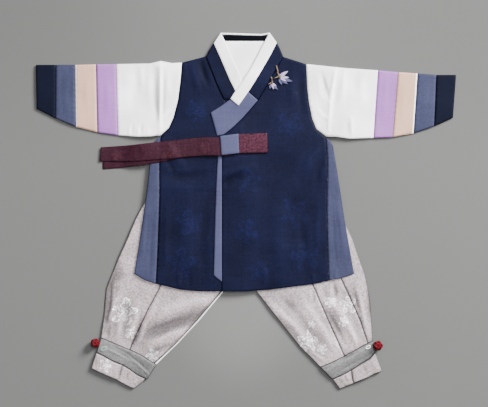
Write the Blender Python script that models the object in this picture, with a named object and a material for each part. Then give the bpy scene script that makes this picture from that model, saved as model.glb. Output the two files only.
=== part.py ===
"""A child's first-birthday hanbok, laid flat: a vest body with striped sleeves over wide trousers.

Every cloth piece is a thin wall of its real cut. Sizes below are millimetres. X runs to the
right as the garment is seen from above, Y runs up to the collar, Z is up from the surface
that it lies on. Outlines are short tables of places (x, y) round each piece.
"""

import math
from collections import namedtuple

import bmesh
import bpy
import numpy as np

MM = 0.001

# Cloth and layers
WALL = 1.3
TROUSER_WALL = 1.5
LAYER_GAP = 0.45
SEAM_HALF = 0.2
LAYER = WALL + LAYER_GAP
LEG_HEIGHT = 4.2
SLEEVE_HEIGHT = 3.9
FOLD_REACH = 3.0
FOLD_MOST_OF_CELL = 0.6
FOLD_INSET_SHARE = 0.8
GRID_STEP = 24.0
FINE_STEP = 13.0

# The vest climbs from the shoulders, on the surface, to the trousers' waist below it
BODY_LIFT = 4.7
LIFT_TOP_Y = 200.0
LIFT_FULL_Y = 100.0
SLEEVE_LIFT_OUT = 230.0
SLEEVE_LIFT_IN = 150.0

# Where the over front lies on the under front, and where the collar arms cross
OPENING_X = -42.0
UNDERLAP_X = -12.0
FRONT_HEM_Y = -140.5
OPENING_TOP_Y = 131.8
UNDERLAP_TOP_Y = 150.0
LAP_EASE_FROM = -8.0
LAP_EASE_TO = 40.0
CROSS_TOP_Y = 246.0
CROSS_FULL_TOP_Y = 231.0
CROSS_FULL_LOW_Y = 188.0
CROSS_LOW_Y = 155.0

# Colours as they look, red green blue from 0 to 255, with roughness
Finish = namedtuple("Finish", "red green blue roughness")
NAVY = Finish(32, 38, 78, 0.55)
CUFF_NAVY = Finish(30, 35, 65, 0.6)
SLATE = Finish(108, 114, 152, 0.6)
LILAC = Finish(196, 168, 208, 0.6)
BEIGE = Finish(220, 203, 192, 0.6)
WHITE = Finish(235, 235, 233, 0.6)
MAROON = Finish(98, 46, 62, 0.5)
SILVER = Finish(208, 200, 203, 0.4)
ANKLE_GREY = Finish(150, 150, 152, 0.4)
RED = Finish(150, 20, 40, 0.5)
DARK = Finish(25, 25, 35, 0.7)
MINT = Finish(190, 215, 205, 0.6)
BLOSSOM = Finish(150, 150, 190, 0.6)

# A ridge (or, with a negative height, a trough) of the top layer: from one place to another
Fold = namedtuple("Fold", "x1 y1 x2 y2 half_width height")
SLEEVE_FOLDS = [
    Fold(-149, 255, -150, 138, 9, 2.6),
    Fold(-158, 238, -159, 168, 8, -0.8),
    Fold(-190, 250, -191, 215, 12, 0.9),
    Fold(-199, 140, -197, 152, 8, 1.0),
    Fold(-184, 136, -183, 150, 8, 0.8),
    Fold(157, 250, 148, 192, 11, 2.4),
    Fold(148, 192, 144, 134, 11, 2.6),
    Fold(173, 232, 170, 170, 20, 0.9),
    Fold(184, 160, 185, 134, 8, 1.0),
    Fold(128, 236, 138, 196, 8, -0.7),
]
LEG_FOLDS = [
    Fold(-223, -152, -238, -190, 12, 2.6),
    Fold(-196, -186, -222, -226, 34, 2.4),
    Fold(-90, -204, -186, -238, 26, -1.0),
    Fold(-120, -180, -170, -222, 26, 2.2),
    Fold(-150, -242, -168, -254, 12, 1.2),
    Fold(150, -170, 186, -222, 26, 2.6),
    Fold(88, -196, 146, -244, 28, 2.8),
    Fold(196, -150, 208, -214, 14, 1.8),
    Fold(122, -176, 150, -216, 9, -0.8),
    Fold(158, -240, 166, -248, 9, 1.2),
]

# The five bands of each sleeve, wrist to body: where each seam meets the lower and upper edge
SleeveSeam = namedtuple("SleeveSeam", "name low_x low_y top_x top_y")
LEFT_SLEEVE = [
    SleeveSeam("wrist", -366.0, 178.5, -367.5, 255.5),
    SleeveSeam("navy_slate", -333.5, 162.0, -332.5, 255.5),
    SleeveSeam("slate_beige", -297.5, 147.0, -299.0, 255.5),
    SleeveSeam("beige_lilac", -260.0, 137.5, -262.5, 256.5),
    SleeveSeam("lilac_white", -224.0, 132.0, -227.5, 257.0),
]
RIGHT_SLEEVE = [
    SleeveSeam("wrist", 362.0, 163.0, 367.5, 238.0),
    SleeveSeam("navy_slate", 329.0, 148.0, 333.0, 238.0),
    SleeveSeam("slate_beige", 293.0, 135.5, 300.0, 240.5),
    SleeveSeam("beige_lilac", 256.5, 129.0, 266.0, 243.0),
    SleeveSeam("lilac_white", 223.0, 127.5, 231.0, 246.0),
]
LEFT_SLEEVE_TOP = [(-227.5, 257.0), (-168, 258), (-149, 262.5), (-129.5, 258.5), (-112, 259.5)]
LEFT_SLEEVE_LOW = [(-224, 132), (-189, 129.5), (-168, 130), (-149, 132)]
RIGHT_SLEEVE_TOP = [(231, 246), (173, 250), (129.5, 254.5), (105, 257)]
RIGHT_SLEEVE_LOW = [(223, 127.5), (182, 126), (157.5, 129.5), (140, 129.5)]
BAND_FINISH = [("cuff", CUFF_NAVY), ("slate", SLATE), ("beige", BEIGE), ("lilac", LILAC)]

# The vest body, each edge from the hem up or from the middle out
LEFT_ARMHOLE = [(-149, 132), (-135, 145), (-127, 163), (-119, 194), (-114.5, 229), (-112, 259.5)]
RIGHT_ARMHOLE = [(140, 129.5), (122.5, 143.5), (115.5, 161), (110, 189), (107, 215), (105, 257)]
LEFT_SIDE_SEAM = [(-157.5, -127), (-154, -51), (-151.5, 19), (-151.5, 80.5), (-149, 130.5)]
RIGHT_SIDE_SEAM = [(145, -121.5), (142, -51), (141, 10.5), (142.5, 80.5), (140, 128)]
LEFT_SIDE_EDGE = [(-195.5, -110), (-188.5, -68), (-180.5, -16), (-173, 37), (-168, 84),
                  (-160, 119), (-155, 126.5)]
RIGHT_SIDE_EDGE = [(189, -110), (181.5, -68), (172.5, -16), (164.5, 37), (159, 72),
                   (152, 114), (146, 124.5)]
LEFT_SHOULDER = [(-112, 259.5), (-70, 270.5)]
RIGHT_SHOULDER = [(105, 257), (65.5, 269.5)]
HEM_LEFT_SIDE = [(-195.5, -110), (-177, -121), (-157.5, -127)]
HEM_RIGHT_SIDE = [(189, -110), (167, -117), (145, -121.5)]
HEM_UNDER = [(-157.5, -127), (-115.5, -137.5), (-80.5, -140.5), (UNDERLAP_X, FRONT_HEM_Y)]
HEM_OVER = [(OPENING_X, FRONT_HEM_Y), (-2, -140.5), (42, -137.5), (117, -128), (145, -121.5)]
HEM_BACK = [(-157.5, -127), (-115.5, -137.5), (-80.5, -140.5), (-2, -140.5), (42, -137.5),
            (117, -128), (145, -121.5)]
NECK_BACK = [(-70, 270.5), (-37, 264), (-2, 262.5), (33, 264), (65.5, 269.5)]
STRIP_LEFT = [(-56.5, -113), (-56, -89), (-54, -7), (-51, 72), (-48.5, 104)]
STRIP_RIGHT = [(OPENING_X, -124), (OPENING_X, 104)]

# The collar: its outer seams, its crossing and its slate end
LEFT_COLLAR_SEAM = [(-26, 171.5), (-38.5, 195), (-49, 217), (-59.5, 243), (-70, 270.5)]
RIGHT_COLLAR_SEAM = [(21, 193.5), (38.5, 223), (52.5, 248.5), (65.5, 269.5)]
LEFT_NECK_SIDE = [(-70, 270.5), (-63.5, 282.5), (-56.5, 293)]
RIGHT_NECK_SIDE = [(65.5, 269.5), (59.5, 283.5), (54, 294)]
END_LOW_EDGE = [(21, 193.5), (8, 178), (-7, 161), (-25, 144), (-38.5, 133.5)]
END_TOP_EDGE = [(-3, 214.5), (-27.6, 195.3), (-45, 182.5), (-61.8, 172)]
END_TIP = [(-50.8, 131), (-61.8, 172)]
LEFT_COLLAR_INNER = [(-5, 199), (-12.8, 217), (-19.3, 233.8), (-39.8, 280), (-50.3, 302)]
RIGHT_COLLAR_INNER = [(-3, 214.5), (0.3, 219), (16, 244), (37.5, 284), (47.5, 303)]

# The white strip on the collar
LEFT_STRIP_INNER = [(-4.8, 224.6), (-10.5, 240), (-35, 294), (-44, 311.5)]
LEFT_STRIP_OUTER = [(-17.2, 206.6), (-28, 227.5), (-44.5, 266), (-56.5, 293)]
RIGHT_STRIP_INNER = [(-27.6, 196), (-19, 209), (-6.5, 226.5), (7, 247.5), (33, 297.5), (41, 312)]
RIGHT_STRIP_OUTER = [(-13, 183.8), (7, 212), (24.5, 240.5), (42, 270.5), (54, 294)]
NECK_RIM = [(-44, 311.5), (-7, 310.5), (26, 309.5), (41, 312)]
NECK_BAND_LOW = [(-56.5, 293), (0, 291), (54, 294)]
NECK_FLANGE = 3.2
INSIDE_TOP = [(-44, 308), (40, 307.5)]
INSIDE_LOW = [(-47, 297), (44.5, 297)]
LINING_LEFT = [(-39.5, 206), (-55, 262), (-47, 297)]
LINING_RIGHT = [(25, 206), (48, 262), (44.5, 297)]
UNDER_ARM_END = (-38.5, 195)

# The ties, from the keeper out to their ends
UPPER_TAIL_TOP = [(-30, 128.5), (-72, 129), (-98, 127), (-133, 123), (-168, 119), (-203, 115),
                  (-254.5, 111.5)]
UPPER_TAIL_LOW = [(-30, 96), (-72, 96), (-98, 94.5), (-133, 90.5), (-168, 88), (-203, 86),
                  (-256.5, 86.5)]
LOWER_TAIL_LOW = [(-30, 97), (-72, 96), (-115.5, 92), (-150.5, 85), (-185.5, 79), (-220.5, 75),
                  (-251, 72.5)]
TAIL_WIDTH = 31.0
TAIL_DROP_FROM = -170.0
TAIL_DROP_TO = -228.0
STRIP_UNDER_TIE_FROM = -85.0
STRIP_UNDER_TIE_TO = -60.0
KEEPER_SLACK = 0.2
KEEPER = [(-43, 97), (-11.5, 100.5), (-13, 135), (-45.5, 131)]
LOOP = [(-27, 100), (38.5, 101.5), (37, 136.5), (-27, 134)]

# The trousers: edges from the waist down
WAIST_TOP = [(-151, 100), (143.5, 100)]
WAIST_LOW = [(-153.5, 80), (146, 80)]
WAIST_STEP = 60.0
LEFT_LEG_OUTER = [(-153.5, 79), (-161, 63), (-176, 19), (-193.5, -14), (-209, -51), (-224, -84),
                  (-236, -114), (-245, -136.5), (-247.5, -160), (-249.5, -188.5), (-252.5, -212),
                  (-254, -222)]
LEFT_LEG_SEAM = [(-95, 79), (-119, -51), (-151.5, -135), (-170.5, -170), (-184.5, -200),
                 (-200, -234), (-203, -243)]
LEFT_LEG_INNER = [(-10.5, 79), (-11, -107), (-42, -139.5), (-86, -192), (-125, -234),
                  (-161, -267.3)]
SEAM_STRIP_OUTER = [(-18.5, -120), (-37.5, -139.5), (-80.5, -191), (-118.5, -232), (-157, -269.2)]
SEAM_STRIP_INNER = [(-22.8, -120), (-41.6, -139.5), (-85.6, -192), (-124.6, -234), (-160.1, -267)]
RIGHT_LEG_OUTER = [(146, 79), (154, 63), (166, 2), (176, -28), (188, -52.5), (196.5, -79),
                   (205, -101.5), (210.5, -121), (215, -142), (217.5, -161), (219.5, -187),
                   (221, -213.5), (221.5, -227.5)]
RIGHT_LEG_SEAM_OUT = [(118, 79), (143.5, -51), (168, -122.5), (182.5, -153.5), (199.5, -191.5),
                      (213, -231.4)]
RIGHT_LEG_SEAM_IN = [(70, 79), (94.5, -51), (117, -129.5), (127, -153.5), (142.5, -188.5),
                     (159.5, -226.5), (172, -253.8)]
RIGHT_LEG_INNER = [(-8.5, 79), (-8.5, -107), (16.5, -139.5), (55, -188.5), (93, -236),
                   (129.5, -273.5)]
LEFT_ANKLE_TOP = [(-254, -222), (-234.5, -230), (-220.5, -236), (-203, -243), (-186.5, -251),
                  (-168, -262.5), (-161, -267.3), (-157, -270)]
LEFT_ANKLE_LOW = [(-261.5, -247), (-250, -252.5), (-232, -262.5), (-217, -268.5), (-202, -277.5),
                  (-190.5, -286.5), (-172, -294.5)]
LEFT_CUFF_LOW = [(-271, -275), (-252.5, -284), (-224.5, -296.5), (-204, -307.5), (-196, -310.5),
                 (-179, -297.5)]
LEFT_CUFF_TOP = [(-262, -247.6), (-250, -253), (-232, -263), (-217, -269), (-202, -278),
                 (-190.5, -287), (-176, -293.5)]
RIGHT_ANKLE_TOP = [(221.5, -227.5), (213, -231.4), (204, -236), (188, -245), (172, -253.8),
                   (150, -265), (129.5, -273.5)]
RIGHT_ANKLE_LOW = [(226, -247), (215.5, -258.5), (198.5, -268.5), (184, -278), (171, -285),
                   (150, -294.5)]
RIGHT_CUFF_TOP = [(226, -248), (215.5, -259), (198.5, -269), (184, -278.5), (171, -285.5),
                  (151, -295)]
RIGHT_CUFF_LOW = [(238.5, -279), (223.5, -284), (197.5, -297.5), (188, -301.5), (174.5, -306.5),
                  (163.5, -312)]
BAND_HEIGHT = 5.4
CUFF_HEIGHT = 4.6
LEFT_PLEAT = {
    "right": [(-222, -293.5), (-219.5, -282), (-215.5, -270)],
    "left": [(-270, -275), (-261.5, -248.5)],
    "low": [(-270, -275), (-252.5, -283.5), (-224.5, -295.5), (-222, -293.5)],
    "top": [(-261.5, -248.5), (-250, -253.5), (-232, -263.5), (-215.5, -270)],
}
RIGHT_PLEAT = {
    "left": [(188.7, -300), (186.4, -296), (184, -279)],
    "right": [(238, -279.5), (225.5, -248.5)],
    "low": [(188.7, -300), (210, -292), (223.5, -285), (238, -279.5)],
    "top": [(184, -279), (198.5, -269.5), (215.5, -259.5), (225.5, -248.5)],
}
KNOTS = [("knot_left", -263.4, -230.6, 8.0), ("knot_right", 230.2, -235.2, 8.5)]
KNOT_RIDGES = 4
KNOT_RIDGE_DEPTH = 0.06
KNOT_TWIST = 1.5

# Small loops at the knots, and the tab that shows by the left one
LOOPS = [("knot_loop_right", 213.5, -238.0, 25.0)]
LOOP_LONG = 4.2
LOOP_SHORT = 2.2
LOOP_THICK = 0.7
LOOP_PLACES = 16
LOOP_SIDES = 6
TAB = [(-254.5, -243), (-246.5, -246.5), (-243, -238), (-251, -234.5)]

# Embroidered blossoms on the shoulder: each petal's direction, reach and spread in degrees
Petal = namedtuple("Petal", "angle reach spread")
Blossom = namedtuple("Blossom", "name x y heart petals stem")
BLOSSOMS = [
    Blossom("blossom_large", 64.7, 232.0, 5.6,
            [Petal(158, 6.4, 26), Petal(56, 9.2, 24), Petal(8, 9.6, 24), Petal(-38, 8.2, 24),
             Petal(-84, 6.2, 22), Petal(-128, 7.6, 24), Petal(108, 3.8, 20)],
            [(53.2, 254.2), (54.3, 249.8), (55.6, 245.8), (55.6, 240.0)]),
    Blossom("blossom_small", 46.6, 218.0, 4.0,
            [Petal(104, 4.2, 24), Petal(158, 4.6, 24), Petal(210, 3.8, 24), Petal(-100, 3.2, 22),
             Petal(-38, 7.2, 26), Petal(8, 4.4, 24)],
            [(43.8, 234.4), (45.0, 231.5), (45.9, 227.2)]),
]
BLOSSOM_HEART_HEIGHT = 2.4
BLOSSOM_RIM_HEIGHT = 0.9
BLOSSOM_RINGS = 3
BLOSSOM_SPOKES = 48
BLOSSOM_CORE = 0.08
STEM_WIDTH = 2.4
STEM_HEIGHT = 1.2
STEM_RISE_SHARE = 0.4


def smooth(value):
    """A step from 0 to 1 with soft ends."""
    value = np.clip(value, 0.0, 1.0)
    return 0.5 - 0.5 * np.cos(math.pi * value)


def fold_height(folds, x, y):
    """The height that a table of ridges and troughs adds at each place."""
    total = np.zeros_like(x, dtype=float)
    for fold in folds:
        run_x = fold.x2 - fold.x1
        run_y = fold.y2 - fold.y1
        length = run_x * run_x + run_y * run_y
        along = np.clip(((x - fold.x1) * run_x + (y - fold.y1) * run_y) / length, 0.0, 1.0)
        away = np.hypot(x - fold.x1 - along * run_x, y - fold.y1 - along * run_y)
        total += fold.height * smooth(1.0 - away / fold.half_width)
    return total


def body_base(x, y):
    """Underside of the vest's back: on the surface at the shoulders, on the trousers below."""
    return BODY_LIFT * smooth((LIFT_TOP_Y - y) / (LIFT_TOP_Y - LIFT_FULL_Y))


def sleeve_base(x, y):
    """Underside of a sleeve: it follows the vest at the armhole and rests on the surface."""
    near = smooth((SLEEVE_LIFT_OUT - np.abs(x)) / (SLEEVE_LIFT_OUT - SLEEVE_LIFT_IN))
    return body_base(x, y) * near


def front_base(x, y):
    """Underside of the layer that lies on the back."""
    return body_base(x, y) + LAYER


def lap_lift(x):
    """How far the over front is lifted by the under front below it."""
    return LAYER * (1.0 - smooth((x - LAP_EASE_FROM) / (LAP_EASE_TO - LAP_EASE_FROM)))


def over_base(x, y):
    """Underside of the over front."""
    return front_base(x, y) + lap_lift(x)


def cross_lift(y):
    """How far the over collar is lifted where it crosses the under collar."""
    upper = smooth((CROSS_TOP_Y - y) / (CROSS_TOP_Y - CROSS_FULL_TOP_Y))
    lower = smooth((y - CROSS_LOW_Y) / (CROSS_FULL_LOW_Y - CROSS_LOW_Y))
    return LAYER * upper * lower


def under_collar_base(x, y):
    """Underside of the collar arm that lies under."""
    return front_base(x, y) + LAYER


def over_collar_base(x, y):
    """Underside of the collar arm that lies over, and of its slate end."""
    return under_collar_base(x, y) + cross_lift(y)


def tie_base(x, y):
    """Underside of the lowest tie: on the fronts, then down to the surface beside the vest."""
    over_strip = LAYER * smooth((x - STRIP_UNDER_TIE_FROM) / (STRIP_UNDER_TIE_TO
                                                              - STRIP_UNDER_TIE_FROM))
    right_of_lap = lap_lift(x)
    on_vest = front_base(x, y) + WALL + LAYER_GAP + np.minimum(over_strip, right_of_lap)
    down = smooth((TAIL_DROP_FROM - x) / (TAIL_DROP_FROM - TAIL_DROP_TO))
    return on_vest * (1.0 - down)


def edge_length(points):
    """Distance along an edge up to each of its places."""
    points = np.array(points, dtype=float)
    steps = np.hypot(*(points[1:] - points[:-1]).T)
    return np.concatenate([[0.0], np.cumsum(steps)])


def stations(first, second, step):
    """Shares of the way along two facing edges, with every place of both and none too close."""
    shares = set()
    for points in (first, second):
        run = edge_length(points)
        shares.update((run / run[-1]).tolist())
    longest = max(edge_length(first)[-1], edge_length(second)[-1])
    kept = [0.0]
    for share in sorted(shares):
        if share - kept[-1] > 1e-4:
            kept.append(share)
    kept[-1] = 1.0
    filled = [0.0]
    for start, end in zip(kept[:-1], kept[1:]):
        pieces = max(1, math.ceil((end - start) * longest / step))
        for index in range(pieces):
            filled.append(start + (end - start) * (index + 1) / pieces)
    return np.array(filled)


def along(points, shares):
    """Places at the given shares of an edge's length."""
    points = np.array(points, dtype=float)
    run = edge_length(points)
    wanted = shares * run[-1]
    return np.stack([np.interp(wanted, run, points[:, 0]), np.interp(wanted, run, points[:, 1])],
                    axis=1)


def patch(left, right, low, top, step, across_step=None):
    """A net of places that fills four edges. Left and right run up, low and top run rightwards."""
    shares_up = stations(left, right, step)
    shares_across = stations(low, top, across_step or step)
    left_line = along(left, shares_up)[:, None, :]
    right_line = along(right, shares_up)[:, None, :]
    low_line = along(low, shares_across)[None, :, :]
    top_line = along(top, shares_across)[None, :, :]
    up = shares_up[:, None, None]
    across = shares_across[None, :, None]
    corners = ((1 - across) * (1 - up) * low_line[:, :1] + across * (1 - up) * low_line[:, -1:]
               + (1 - across) * up * top_line[:, :1] + across * up * top_line[:, -1:])
    net = (1 - up) * low_line + up * top_line + (1 - across) * left_line + across * right_line
    return net - corners


def pull_in(net, sides="lrbt"):
    """Draws the rim of a net in by half a seam's gap, at its left, right, bottom and top."""
    net = net.copy()

    def drawn(rim, inner):
        way = inner - rim
        far = np.linalg.norm(way, axis=-1, keepdims=True)
        return rim + way / np.maximum(far, 1e-9) * SEAM_HALF

    if "l" in sides:
        net[:, 0] = drawn(net[:, 0], net[:, 1])
    if "r" in sides:
        net[:, -1] = drawn(net[:, -1], net[:, -2])
    if "b" in sides:
        net[0] = drawn(net[0], net[1])
    if "t" in sides:
        net[-1] = drawn(net[-1], net[-2])
    return net


def finish_material(name, finish):
    """A plain material in the piece's colour."""
    material = bpy.data.materials.new(name)
    material.use_nodes = True
    shader = material.node_tree.nodes["Principled BSDF"]
    colour = []
    for value in (finish.red, finish.green, finish.blue):
        share = value / 255.0
        colour.append(share / 12.92 if share <= 0.04045 else ((share + 0.055) / 1.055) ** 2.4)
    shader.inputs["Base Color"].default_value = (*colour, 1.0)
    shader.inputs["Roughness"].default_value = finish.roughness
    shader.inputs["Metallic"].default_value = 0.0
    return material


def wall_object(name, outer, inner, finish, ring=False):
    """Joins an outer and an inner net of points into one closed wall."""
    rows, columns = outer.shape[:2]
    mesh = bpy.data.meshes.new(name)
    build = bmesh.new()
    nets = []
    for net in (outer, inner):
        nets.append([[build.verts.new(tuple(point * MM)) for point in row] for row in net])
    spans = columns if ring else columns - 1
    for row in range(rows - 1):
        for column in range(spans):
            after = (column + 1) % columns
            for face, net in enumerate(nets):
                loop = [net[row][column], net[row][after], net[row + 1][after], net[row + 1][column]]
                build.faces.new(loop if face == 0 else loop[::-1])
    for row in (0, rows - 1):
        for column in range(spans):
            after = (column + 1) % columns
            build.faces.new([nets[0][row][column], nets[0][row][after],
                             nets[1][row][after], nets[1][row][column]])
    if not ring:
        for column in (0, columns - 1):
            for row in range(rows - 1):
                build.faces.new([nets[0][row][column], nets[0][row + 1][column],
                                 nets[1][row + 1][column], nets[1][row][column]])
    bmesh.ops.recalc_face_normals(build, faces=build.faces)
    bmesh.ops.triangulate(build, faces=build.faces)
    build.to_mesh(mesh)
    build.free()
    mesh.shade_smooth()
    mesh.set_sharp_from_angle(angle=math.radians(40))
    mesh.materials.append(finish_material(name, finish))
    piece = bpy.data.objects.new(name, mesh)
    bpy.context.collection.objects.link(piece)
    return piece


def with_height(net, height):
    """Puts heights on a net of places."""
    return np.concatenate([net, np.broadcast_to(height, net.shape[:2])[..., None]], axis=2)


def flat_piece(name, net, base, finish, thick=WALL, raised=None, sides="lrbt"):
    """A cloth piece of one layer, lying on a base."""
    net = pull_in(net, sides)
    x, y = net[..., 0], net[..., 1]
    low = base(x, y)
    top = low + thick
    if raised is not None:
        top = top + raised(x, y)
    return wall_object(name, with_height(net, top), with_height(net, low), finish)


def fold_arc(edge, inward, middle, half, reach):
    """The points round a fold, from the top layer over the edge to the layer below."""
    points = []
    for angle in (90, 50, 18, -18, -50, -90):
        turn = math.radians(angle)
        place = edge + inward * (reach[0] - reach[1] * math.cos(turn))[:, None]
        points.append(np.column_stack([place, middle + half * math.sin(turn)]))
    return points


def folded_piece(name, net, base, height, finish, raised=None, thick=WALL,
                 fold_start=False, sides="lbt"):
    """A piece of two layers, folded at the net's right edge and, for a tube, at its left too."""
    net = pull_in(net, sides)
    x, y = net[..., 0], net[..., 1]
    layers = []
    for inset in (0.0, thick):
        strips = []
        for is_top in (True, False):
            low = base(x, y)
            level = low + height - inset if is_top else low + inset
            if is_top and raised is not None:
                level = level + raised(x, y)
            strips.append(with_height(net, level))
        top, under = strips
        sections = []
        begin = 1 if fold_start else 0
        for column in range(begin, top.shape[1] - 1):
            sections.append(top[:, column])
        sections += edge_fold(net, base, height, inset, -1)
        for column in range(under.shape[1] - 2, begin - 1, -1):
            sections.append(under[:, column])
        if fold_start:
            sections += edge_fold(net, base, height, inset, 0)[::-1]
        layers.append(np.stack(sections, axis=1))
    return wall_object(name, layers[0], layers[1], finish, ring=fold_start)


def edge_fold(net, base, height, inset, side):
    """The fold at one side of a net, for the outer (inset 0) or the inner face of the wall."""
    edge = net[:, side]
    beside = net[:, side + 1 if side == 0 else side - 1]
    way = beside - edge
    far = np.linalg.norm(way, axis=1)
    inward = way / far[:, None]
    reach = np.minimum(FOLD_REACH, far * FOLD_MOST_OF_CELL)
    low = base(edge[:, 0], edge[:, 1])
    middle = low + height / 2
    half = height / 2 - inset
    return fold_arc(edge, inward, middle, np.full(len(edge), half),
                    (reach, reach - inset * FOLD_INSET_SHARE))


def band_net(wrist_seam, body_seam):
    """The net of a straight sleeve band. It runs from the lower edge across to the upper edge."""
    wrist_low = (wrist_seam.low_x, wrist_seam.low_y)
    wrist_top = (wrist_seam.top_x, wrist_seam.top_y)
    body_low = (body_seam.low_x, body_seam.low_y)
    body_top = (body_seam.top_x, body_seam.top_y)
    return patch([wrist_low, body_low], [wrist_top, body_top], [wrist_low, wrist_top],
                 [body_low, body_top], GRID_STEP)


def sleeve_folds(x, y):
    """The sleeves' ridges, kept clear of the folded edges."""
    return fold_height(SLEEVE_FOLDS, x, y)


def make_sleeve(side, seams, low_edge, top_edge, armhole):
    """One sleeve: four narrow bands and the wide white one that ends at the armhole."""
    for index, (band, finish) in enumerate(BAND_FINISH):
        net = band_net(seams[index], seams[index + 1])
        folded_piece(f"sleeve_{side}_{band}", net, sleeve_base, SLEEVE_HEIGHT, finish,
                     fold_start=True, sides="bt")
    last = seams[-1]
    start = [(last.low_x, last.low_y), (last.top_x, last.top_y)]
    net = patch(low_edge, top_edge, start, armhole, FINE_STEP, FINE_STEP)
    folded_piece(f"sleeve_{side}_white", net, sleeve_base, SLEEVE_HEIGHT, WHITE,
                 raised=sleeve_folds, fold_start=True, sides="bt")


def make_body():
    """The vest's back, its two fronts, the side panels and the strip beside the opening."""
    back_top = LEFT_SHOULDER + NECK_BACK[1:] + RIGHT_SHOULDER[::-1][1:]
    left = LEFT_SIDE_SEAM + LEFT_ARMHOLE[1:]
    right = RIGHT_SIDE_SEAM + RIGHT_ARMHOLE[1:]
    flat_piece("vest_back", patch(left, right, HEM_BACK, back_top, GRID_STEP), body_base, NAVY)
    inner_edge = [(UNDERLAP_X, FRONT_HEM_Y), (UNDERLAP_X, UNDERLAP_TOP_Y)]
    under_top = LEFT_SHOULDER + LEFT_COLLAR_SEAM[::-1][1:] + inner_edge[1:]
    flat_piece("front_under", patch(left, inner_edge, HEM_UNDER, under_top, GRID_STEP),
               front_base, NAVY)
    opening = [(OPENING_X, FRONT_HEM_Y), (OPENING_X, OPENING_TOP_Y)]
    over_top = opening[1:] + END_LOW_EDGE[::-1] + RIGHT_COLLAR_SEAM[1:]
    over_top = over_top + RIGHT_SHOULDER[::-1][1:]
    flat_piece("front_over", patch(opening, right, HEM_OVER, over_top, GRID_STEP), over_base, NAVY)
    flat_piece("opening_strip",
               patch(STRIP_LEFT, STRIP_RIGHT, [STRIP_LEFT[0], STRIP_RIGHT[0]],
                     [STRIP_LEFT[-1], STRIP_RIGHT[-1]], GRID_STEP), over_base, SLATE)
    panels = [("left", LEFT_SIDE_SEAM, LEFT_SIDE_EDGE, HEM_LEFT_SIDE[::-1]),
              ("right", RIGHT_SIDE_SEAM, RIGHT_SIDE_EDGE, HEM_RIGHT_SIDE[::-1])]
    for side, seam, edge, hem in panels:
        net = patch(seam, edge, hem, [seam[-1], edge[-1]], GRID_STEP, FINE_STEP)
        folded_piece(f"side_panel_{side}", net, body_base, LAYER + WALL, SLATE)


def make_neck():
    """The back of the neck: collar band, white strip over its rim, inside band and lining."""
    flat_piece("collar_back", patch(LEFT_NECK_SIDE, RIGHT_NECK_SIDE, NECK_BACK, NECK_BAND_LOW,
                                    GRID_STEP), body_base, NAVY)
    left = [NECK_BAND_LOW[0], NECK_RIM[0]]
    right = [NECK_BAND_LOW[-1], NECK_RIM[-1]]
    upright = patch(left, right, NECK_BAND_LOW, NECK_RIM, FINE_STEP)
    make_rim(pull_in(upright, "lrb"))
    flat_piece("collar_inside", patch([INSIDE_LOW[0], INSIDE_TOP[0]], [INSIDE_LOW[1], INSIDE_TOP[1]],
                                      INSIDE_LOW, INSIDE_TOP, GRID_STEP), front_base, DARK)
    lining_low = [LINING_LEFT[0], LINING_RIGHT[0]]
    flat_piece("back_lining", patch(LINING_LEFT, LINING_RIGHT, lining_low, INSIDE_LOW, GRID_STEP),
               front_base, WHITE)


def make_rim(net):
    """The white strip on the back of the collar, folded over the rim with a narrow front part."""
    height = 2 * LAYER + WALL
    layers = []
    for inset in (0.0, WALL):
        top = net[-1].copy()
        top[:, 1] = top[:, 1] - NECK_FLANGE
        sections = [with_height(top[:, None], height - inset)[:, 0]]
        fold_net = np.stack([net[-2], net[-1]], axis=1)
        fold = edge_fold(fold_net, body_base, height, inset, -1)
        sections += fold[1:]
        sections.append(with_height(net[0][:, None], inset)[:, 0])
        layers.append(np.stack(sections, axis=1))
    wall_object("white_strip_back", layers[0], layers[1], WHITE)


def make_collar():
    """The two arms of the collar, the slate end, and the white strips on the arms."""
    left_outer = [UNDER_ARM_END] + LEFT_COLLAR_SEAM[2:] + LEFT_NECK_SIDE[1:]
    flat_piece("collar_under", patch(left_outer, LEFT_COLLAR_INNER,
                                     [left_outer[0], LEFT_COLLAR_INNER[0]],
                                     [left_outer[-1], LEFT_COLLAR_INNER[-1]], FINE_STEP),
               under_collar_base, NAVY)
    right_outer = RIGHT_COLLAR_SEAM + RIGHT_NECK_SIDE[1:]
    flat_piece("collar_over", patch(RIGHT_COLLAR_INNER, right_outer,
                                    [RIGHT_COLLAR_INNER[0], right_outer[0]],
                                    [RIGHT_COLLAR_INNER[-1], right_outer[-1]], FINE_STEP),
               over_collar_base, NAVY)
    tip_low = END_LOW_EDGE + [END_TIP[0]]
    flat_piece("collar_end", patch(END_TOP_EDGE, tip_low, [END_TOP_EDGE[0], tip_low[0]],
                                   [END_TIP[1], END_TIP[0]], FINE_STEP),
               over_collar_base, SLATE)

    def above_under(x, y):
        return under_collar_base(x, y) + LAYER

    def above_over(x, y):
        return over_collar_base(x, y) + LAYER

    flat_piece("white_strip_under", patch(LEFT_STRIP_OUTER, LEFT_STRIP_INNER,
                                          [LEFT_STRIP_OUTER[0], LEFT_STRIP_INNER[0]],
                                          [LEFT_STRIP_OUTER[-1], LEFT_STRIP_INNER[-1]], FINE_STEP),
               above_under, WHITE)
    flat_piece("white_strip_over", patch(RIGHT_STRIP_INNER, RIGHT_STRIP_OUTER,
                                         [RIGHT_STRIP_INNER[0], RIGHT_STRIP_OUTER[0]],
                                         [RIGHT_STRIP_INNER[-1], RIGHT_STRIP_OUTER[-1]], FINE_STEP),
               above_over, WHITE)


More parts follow.
